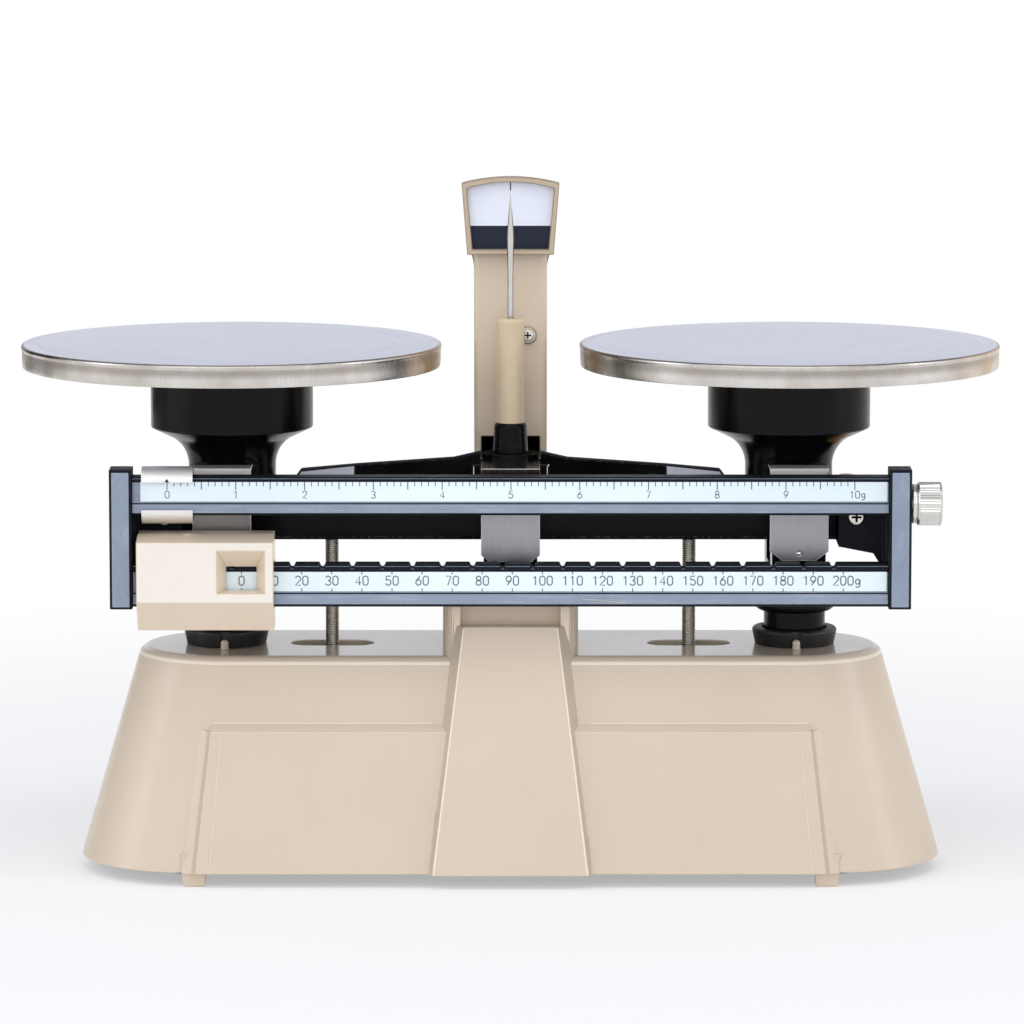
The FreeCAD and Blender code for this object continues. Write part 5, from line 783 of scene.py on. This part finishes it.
# shares of the head's radius or height, and lengths in millimetres for weld, flush and below
recess = {"reach": 0.6, "half": 0.14, "depth": 0.6, "floor": 0.8, "crown": 0.75, "dome": 0.62, "domeRows": 6,
          "rim": 0.98, "tip": 0.75, "point": 0.3, "steps": 48, "flush": 0.3, "below": 0.2, "weld": 0.001}
for node, (axis, sign) in screwLooks.items():
    source = bmesh.new()
    source.from_mesh(frame["nodes"][node].data)
    bmesh.ops.remove_doubles(source, verts=source.verts, dist=recess["weld"] * mm)
    islands, left = [], set(source.verts)
    while left:
        island, edge = set(), [left.pop()]
        while edge:
            vert = edge.pop()
            island.add(vert)
            for link in vert.link_edges:
                other = link.other_vert(vert)
                if other in left:
                    left.discard(other)
                    edge.append(other)
        islands.append([vert.co / mm for vert in island])
    source.free()
    bm = bmesh.new()
    for points in islands:
        lows = [min(point[k] for point in points) for k in range(3)]
        highs = [max(point[k] for point in points) for k in range(3)]
        side = sign or (1 if highs[axis] > 0 else -1)
        first, second = (k for k in range(3) if k != axis)
        middle = [(lows[k] + highs[k]) / 2 for k in (first, second)]
        spread = [(math.hypot(point[first] - middle[0], point[second] - middle[1]), side * point[axis])
                  for point in points]
        headRadius = max(reach for reach, along in spread)
        top = max(along for reach, along in spread)
        tip = min(along for reach, along in spread)
        under = min(along for reach, along in spread if reach > headRadius * recess["rim"])
        top = min(top, under + recess["flush"]) if node == "rail_screws" else top
        shank = max(reach for reach, along in spread if along < under - recess["below"])
        height = top - under

        def place(along, across, up):
            point = [0, 0, 0]
            point[axis], point[first], point[second] = side * along, middle[0] + across, middle[1] + up
            return point

        def circle(along, reach):
            return [place(along, reach * u, reach * v) for u, v in around(recess["steps"])]

        crown = headRadius * recess["crown"]
        rings = [circle(tip, shank * recess["tip"]), circle(tip + shank * recess["point"], shank),
                 circle(under, shank), circle(under, headRadius)]
        for k in range(recess["domeRows"] + 1):
            sweep = math.radians(90 * k / recess["domeRows"])
            rings.append(circle(top - height * recess["dome"] * (1 - math.sin(sweep)),
                                crown + (headRadius - crown) * math.cos(sweep)))
        loops = swept(bm, rings, closed=False)
        bm.faces.new(loops[0])
        arm, half = headRadius * recess["reach"], headRadius * recess["half"]
        cross = [(arm, -half), (arm, half), (half, half), (half, arm), (-half, arm), (-half, half),
                 (-arm, half), (-arm, -half), (-half, -half), (-half, -arm), (half, -arm), (half, -half)]
        brim = [bm.verts.new([value * mm for value in place(top, u, v)]) for u, v in cross]
        deep, share = top - height * recess["depth"], recess["floor"]
        floor = [bm.verts.new([value * mm for value in place(deep, u * share, v * share)]) for u, v in cross]
        edges = [bm.edges.new((brim[k - 1], brim[k])) for k in range(len(cross))]
        edges += [bm.edges.get((loops[-1][k - 1], loops[-1][k])) for k in range(recess["steps"])]
        bmesh.ops.triangle_fill(bm, edges=edges, use_beauty=True)
        # the cross recess's walls and floor take painted shade
        for k in range(len(cross)):
            bm.faces.new([brim[k - 1], brim[k], floor[k], floor[k - 1]]).material_index = 1
        bm.faces.new(floor).material_index = 1
    bmesh.ops.recalc_face_normals(bm, faces=bm.faces)
    addPiece(node + "_cross_head", bm, ["nickel", "grime"], node, [node], sharp=35)
print("screws cut")


def addFilm(bm, corners, y):
    bm.faces.new([bm.verts.new((x * mm, y * mm, z * mm)) for x, z in corners])


def addBar(bm, x, half, bottom, top, y):
    addFilm(bm, [(x - half, bottom), (x + half, bottom), (x + half, top), (x - half, top)], y)


# single-line figures on a box one high and 0.56 wide, as an engraver's pantograph cuts them
strokes = {
    "0": [oval(0.28, 0.72, 0.28, 0.28, 0, 180) + oval(0.28, 0.28, 0.28, 0.28, 180, 360) + [(0.56, 0.72)]],
    "1": [[(0.1, 0.8), (0.32, 1.0), (0.32, 0.0)]],
    "2": [oval(0.28, 0.72, 0.28, 0.28, 170, -35) + [(0.0, 0.0), (0.56, 0.0)]],
    "3": [oval(0.27, 0.75, 0.26, 0.25, 160, -90) + oval(0.27, 0.25, 0.29, 0.25, 90, -165)],
    "4": [[(0.42, 0.0), (0.42, 1.0), (0.0, 0.28), (0.58, 0.28)]],
    "5": [[(0.52, 1.0), (0.08, 1.0), (0.04, 0.56)] + oval(0.27, 0.31, 0.29, 0.31, 125, -160)],
    "6": [[(0.44, 1.0)] + oval(0.28, 0.3, 0.28, 0.3, 145, 505)],
    "7": [[(0.0, 1.0), (0.56, 1.0), (0.2, 0.0)]],
    "8": [oval(0.28, 0.76, 0.24, 0.24, -90, 270, 20), oval(0.28, 0.26, 0.28, 0.26, 90, 450, 20)],
    "9": [[(0.12, 0.0)] + oval(0.28, 0.7, 0.28, 0.3, -35, 325, 20)],
    "g": [oval(0.26, 0.38, 0.24, 0.26, 30, 390, 20),
          [(0.5, 0.64), (0.5, 0.0)] + oval(0.26, 0.0, 0.24, 0.24, 0, -150, 8)],
}
figureBox = {"wide": 0.56, "pitch": 0.8}  # shares of a figure's height


def addFigures(bm, words, x, z, height, width, y):
    pitch = figureBox["pitch"] * height
    x -= (pitch * (len(words.rstrip("g")) - 1) + figureBox["wide"] * height) / 2
    for letter in words:
        for line in strokes[letter]:
            spots = [Vector((x + u * height, z + v * height)) for u, v in line]
            rails = []
            for k, spot in enumerate(spots):
                ahead = (spots[min(k + 1, len(spots) - 1)] - spots[max(k - 1, 0)]).normalized()
                aside = Vector((-ahead.y, ahead.x)) * width / 2
                rails.append((spot + aside, spot - aside))
            for (a, b), (c, d) in zip(rails, rails[1:]):
                addFilm(bm, [a, b, d, c], y)
        x += pitch


ink = {"gap": 0.025, "width": 0.36, "fine": 0.3}
scales = {
    # fine scale: tenths of a gram hang from the top edge, figures stand below the whole grams;
    # ticks are as long as a whole, a half and a tenth
    "upper_scale": {"zero": -120.3, "step": 2.409, "count": 100, "figure": 2.5, "foot": 2.0, "line": 0.32,
                    "ticks": (2.8, 2.6, 1.5)},
    # coarse scale: a short tick at top and bottom every ten grams, figures between;
    # ticks give the upper one's length, then the lower one's start and end
    "lower_scale": {"zero": -94.4, "step": 10.56, "count": 20, "figure": 3.2, "foot": 3.0, "line": 0.42,
                    "ticks": (0.9, 0.8, 1.9)},
}
for node, look in scales.items():
    low, high = (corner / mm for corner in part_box(node))
    face = low.y - ink["gap"]
    bm = bmesh.new()
    for k in range(look["count"] + 1):
        x = look["zero"] + look["step"] * k
        if node == "upper_scale":
            drop = look["ticks"][0 if k % 10 == 0 else 1 if k % 5 == 0 else 2]
            half = (ink["width"] if k % 5 == 0 else ink["fine"]) / 2
            addBar(bm, x, half, high.z - drop, high.z, face)
            words = str(k // 10) if k % 10 == 0 else ""
        else:
            drop, start, end = look["ticks"]
            addBar(bm, x, ink["width"] / 2, high.z - drop, high.z, face)
            addBar(bm, x, ink["width"] / 2, low.z + start, low.z + end, face)
            words = str(k * 10)
        if words:
            words += "g" if k == look["count"] else ""
            addFigures(bm, words, x, low.z + look["foot"], look["figure"], look["line"], face)
    addPiece(node + "_print", bm, ["ink"], node)

# rubs and scratches on the two rails: lines of (x, z) in millimetres and their width
scuffLook = {
    "upper_rail": [([(-36, 136.9), (-33, 136.6), (-30, 136.4), (-26, 136.7), (-21.5, 136.5)], 0.22),
                   ([(-62, 135.4), (-58.5, 135.6)], 0.2), ([(53, 135.8), (57, 135.5)], 0.2)],
    "lower_rail": [([(25.5, 104.0), (30, 103.8), (35, 103.3), (40.5, 102.8)], 0.5),
                   ([(28, 103.1), (36, 102.5)], 0.3), ([(31, 104.2), (41, 103.6)], 0.22),
                   ([(-2.5, 103.4), (5, 103.1)], 0.22), ([(74, 102.8), (78, 103.3)], 0.2)],
}
for node, lines in scuffLook.items():
    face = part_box(node)[0].y / mm - ink["gap"]
    bm = bmesh.new()
    for line, width in lines:
        half = width / 2
        for (x, z), (nextX, nextZ) in zip(line, line[1:]):
            addFilm(bm, [(x, z - half), (nextX, nextZ - half), (nextX, nextZ + half), (x, z + half)], face)
    addPiece(node + "_scuffs", bm, ["rubbedSlate"], node)

# the dial's navy foot follows the plate's leaning sides, and a line marks the middle at its crown
dialLook = {"band": 230.5, "rim": 0.05, "line": 0.42, "lineDrop": 3.2, "lineGap": 0.1, "crown": 2.0,
            "taper": 2.0}
low, high = (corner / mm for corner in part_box("dial_plate"))
face, band, rim = low.y - ink["gap"], dialLook["band"], dialLook["rim"]
slope = dialLook["taper"] / (high.z - dialLook["crown"] - low.z)
footHalf = high.x - dialLook["taper"] - rim
bandHalf = footHalf + slope * (band - low.z)
bm = bmesh.new()
addFilm(bm, [(-footHalf, low.z + rim), (footHalf, low.z + rim), (bandHalf, band), (-bandHalf, band)], face)
addBar(bm, 0, dialLook["line"] / 2, high.z - dialLook["lineDrop"], high.z - dialLook["lineGap"], face)
addPiece("dial_plate_print", bm, ["navy"], "dial_plate")
print("scales and dial printed")

# plain studio: pale sweep, big overhead box, side strips and a front fill
studio = {"floor": "#F9F9F9", "halfWidth": 9.0, "front": -9.0, "back": 16.0, "clear": (0.25, 0.7),
          "lift": 0.4, "low": "#F6F8FE", "middle": "#B9BDC9", "zenith": "#B4B6BC", "band": (0.2, 0.5, 0.9),
          "strength": 1.0, "cards": {-1: "#2A231D", 1: "#FFF4E6"}, "cardEnds": ((0.75, 1.15), (1.35, 0.2)),
          "cardRise": (0.01, 1.0), "paperHaze": 0.9, "paperShine": 0.1}
lamps = [
    {"name": "frontBox", "place": (-0.4, -3.0, 1.9), "aim": (0, 0, 0.1), "size": (4.2, 2.4), "power": 31},
    {"name": "topBox", "place": (0.0, -0.75, 1.9), "aim": (0, 0, 0.1), "size": (2.2, 0.9), "power": 12},
    {"name": "leftStrip", "place": (-1.7, -0.5, 0.8), "aim": (0, 0, 0.12), "size": (0.5, 1.5), "power": 5},
    {"name": "rightStrip", "place": (1.7, -0.5, 0.8), "aim": (0, 0, 0.12), "size": (0.5, 1.5), "power": 5},
]
for lamp in lamps:
    light = bpy.data.lights.new(lamp["name"], "AREA")
    light.shape = "RECTANGLE"
    light.size, light.size_y = lamp["size"]
    light.energy = lamp["power"]
    holder = addObject(lamp["name"], light)
    holder.location = lamp["place"]
    holder.rotation_euler = (Vector(lamp["aim"]) - Vector(lamp["place"])).to_track_quat("-Z", "Y").to_euler()

world = bpy.data.worlds.new("studioRoom")
scene.world = world
world.use_nodes = True
room = world.node_tree
sky = addNode(room, "TexCoord", out="Generated")
rise = addNode(room, "SeparateXYZ", [sky], 2)
wash = linear(studio["low"])
for start, end, tone in zip(studio["band"], studio["band"][1:], ("middle", "zenith")):
    lift = addNode(room, "MapRange", [rise, start, end])
    wash = addNode(room, "Mix", {0: lift, 6: wash, 7: linear(studio[tone])}, **colourMix)
room.links.new(wash, room.nodes["Background"].inputs["Color"])
room.nodes["Background"].inputs["Strength"].default_value = studio["strength"]


def addSheet(name, spots, material):
    bm = bmesh.new()
    bm.faces.new([bm.verts.new(spot) for spot in spots])
    return addMesh(name, bm, [material])


paper = bpy.data.materials.new("paleSweepPaper")  # matt paper: takes the shadow near by, white further off
paper.use_nodes = True
tree = paper.node_tree
shader = tree.nodes["Principled BSDF"]
shader.inputs["Roughness"].default_value = studio["paperHaze"]
shader.inputs["Specular IOR Level"].default_value = studio["paperShine"]
shader.inputs["Base Color"].default_value = linear(studio["floor"])
rays = addNode(tree, "LightPath").node.outputs
seen = addNode(tree, "Math", [rays["Is Camera Ray"], rays["Is Glossy Ray"]], operation="ADD")
seen = addNode(tree, "Math", [seen, rays["Is Transmission Ray"]], operation="ADD", use_clamp=True)
spot = addNode(tree, "TexCoord", out="Object")
away = addNode(tree, "VectorMath", [spot], "Value", operation="LENGTH")
fade = addNode(tree, "MapRange", [away, *studio["clear"], studio["lift"], 1.0],
               interpolation_type="SMOOTHSTEP")
share = addNode(tree, "Math", [seen, fade], operation="MULTIPLY")
glow = addNode(tree, "Emission", {"Color": (1, 1, 1, 1), "Strength": 1.0})
blend = addNode(tree, "MixShader", [share, shader.outputs[0], glow])
tree.links.new(blend, tree.nodes["Material Output"].inputs["Surface"])
wide, front, back = studio["halfWidth"], studio["front"], studio["back"]
spots = [(-wide, front, 0), (wide, front, 0), (wide, back, 0), (-wide, back, 0)]
floor = addSheet("paperSweep", spots, paper)

# out of sight behind, a dark card on the left and a pale one on the right give the bright metal its lines
(nearX, nearY), (farX, farY) = studio["cardEnds"]
bottom, top = studio["cardRise"]
for side, shade in studio["cards"].items():
    card = bpy.data.materials.new("flagCard")
    card.use_nodes = True
    tint = addNode(card.node_tree, "Emission", {"Color": linear(shade), "Strength": 1.0})
    card.node_tree.links.new(tint, card.node_tree.nodes["Material Output"].inputs["Surface"])
    flag = addSheet("flagCard", [(side * nearX, nearY, bottom), (side * farX, farY, bottom),
                                 (side * farX, farY, top), (side * nearX, nearY, top)], card)
    flag.visible_camera = flag.visible_diffuse = flag.visible_shadow = False

view = {"place": (0.0, -2.1, 0.4124), "pitch": 7.698, "lens": 207.8, "sensor": 36.0, "shift": 1.5 / 1024}
camera = bpy.data.cameras.new("frontView")
camera.lens, camera.sensor_width, camera.shift_x = view["lens"], view["sensor"], view["shift"]
holder = addObject("frontView", camera)
holder.location = view["place"]
holder.rotation_euler = (math.radians(90 - view["pitch"]), 0, 0)
scene.camera = holder
scene.view_settings.view_transform = "Standard"
print("studio set")
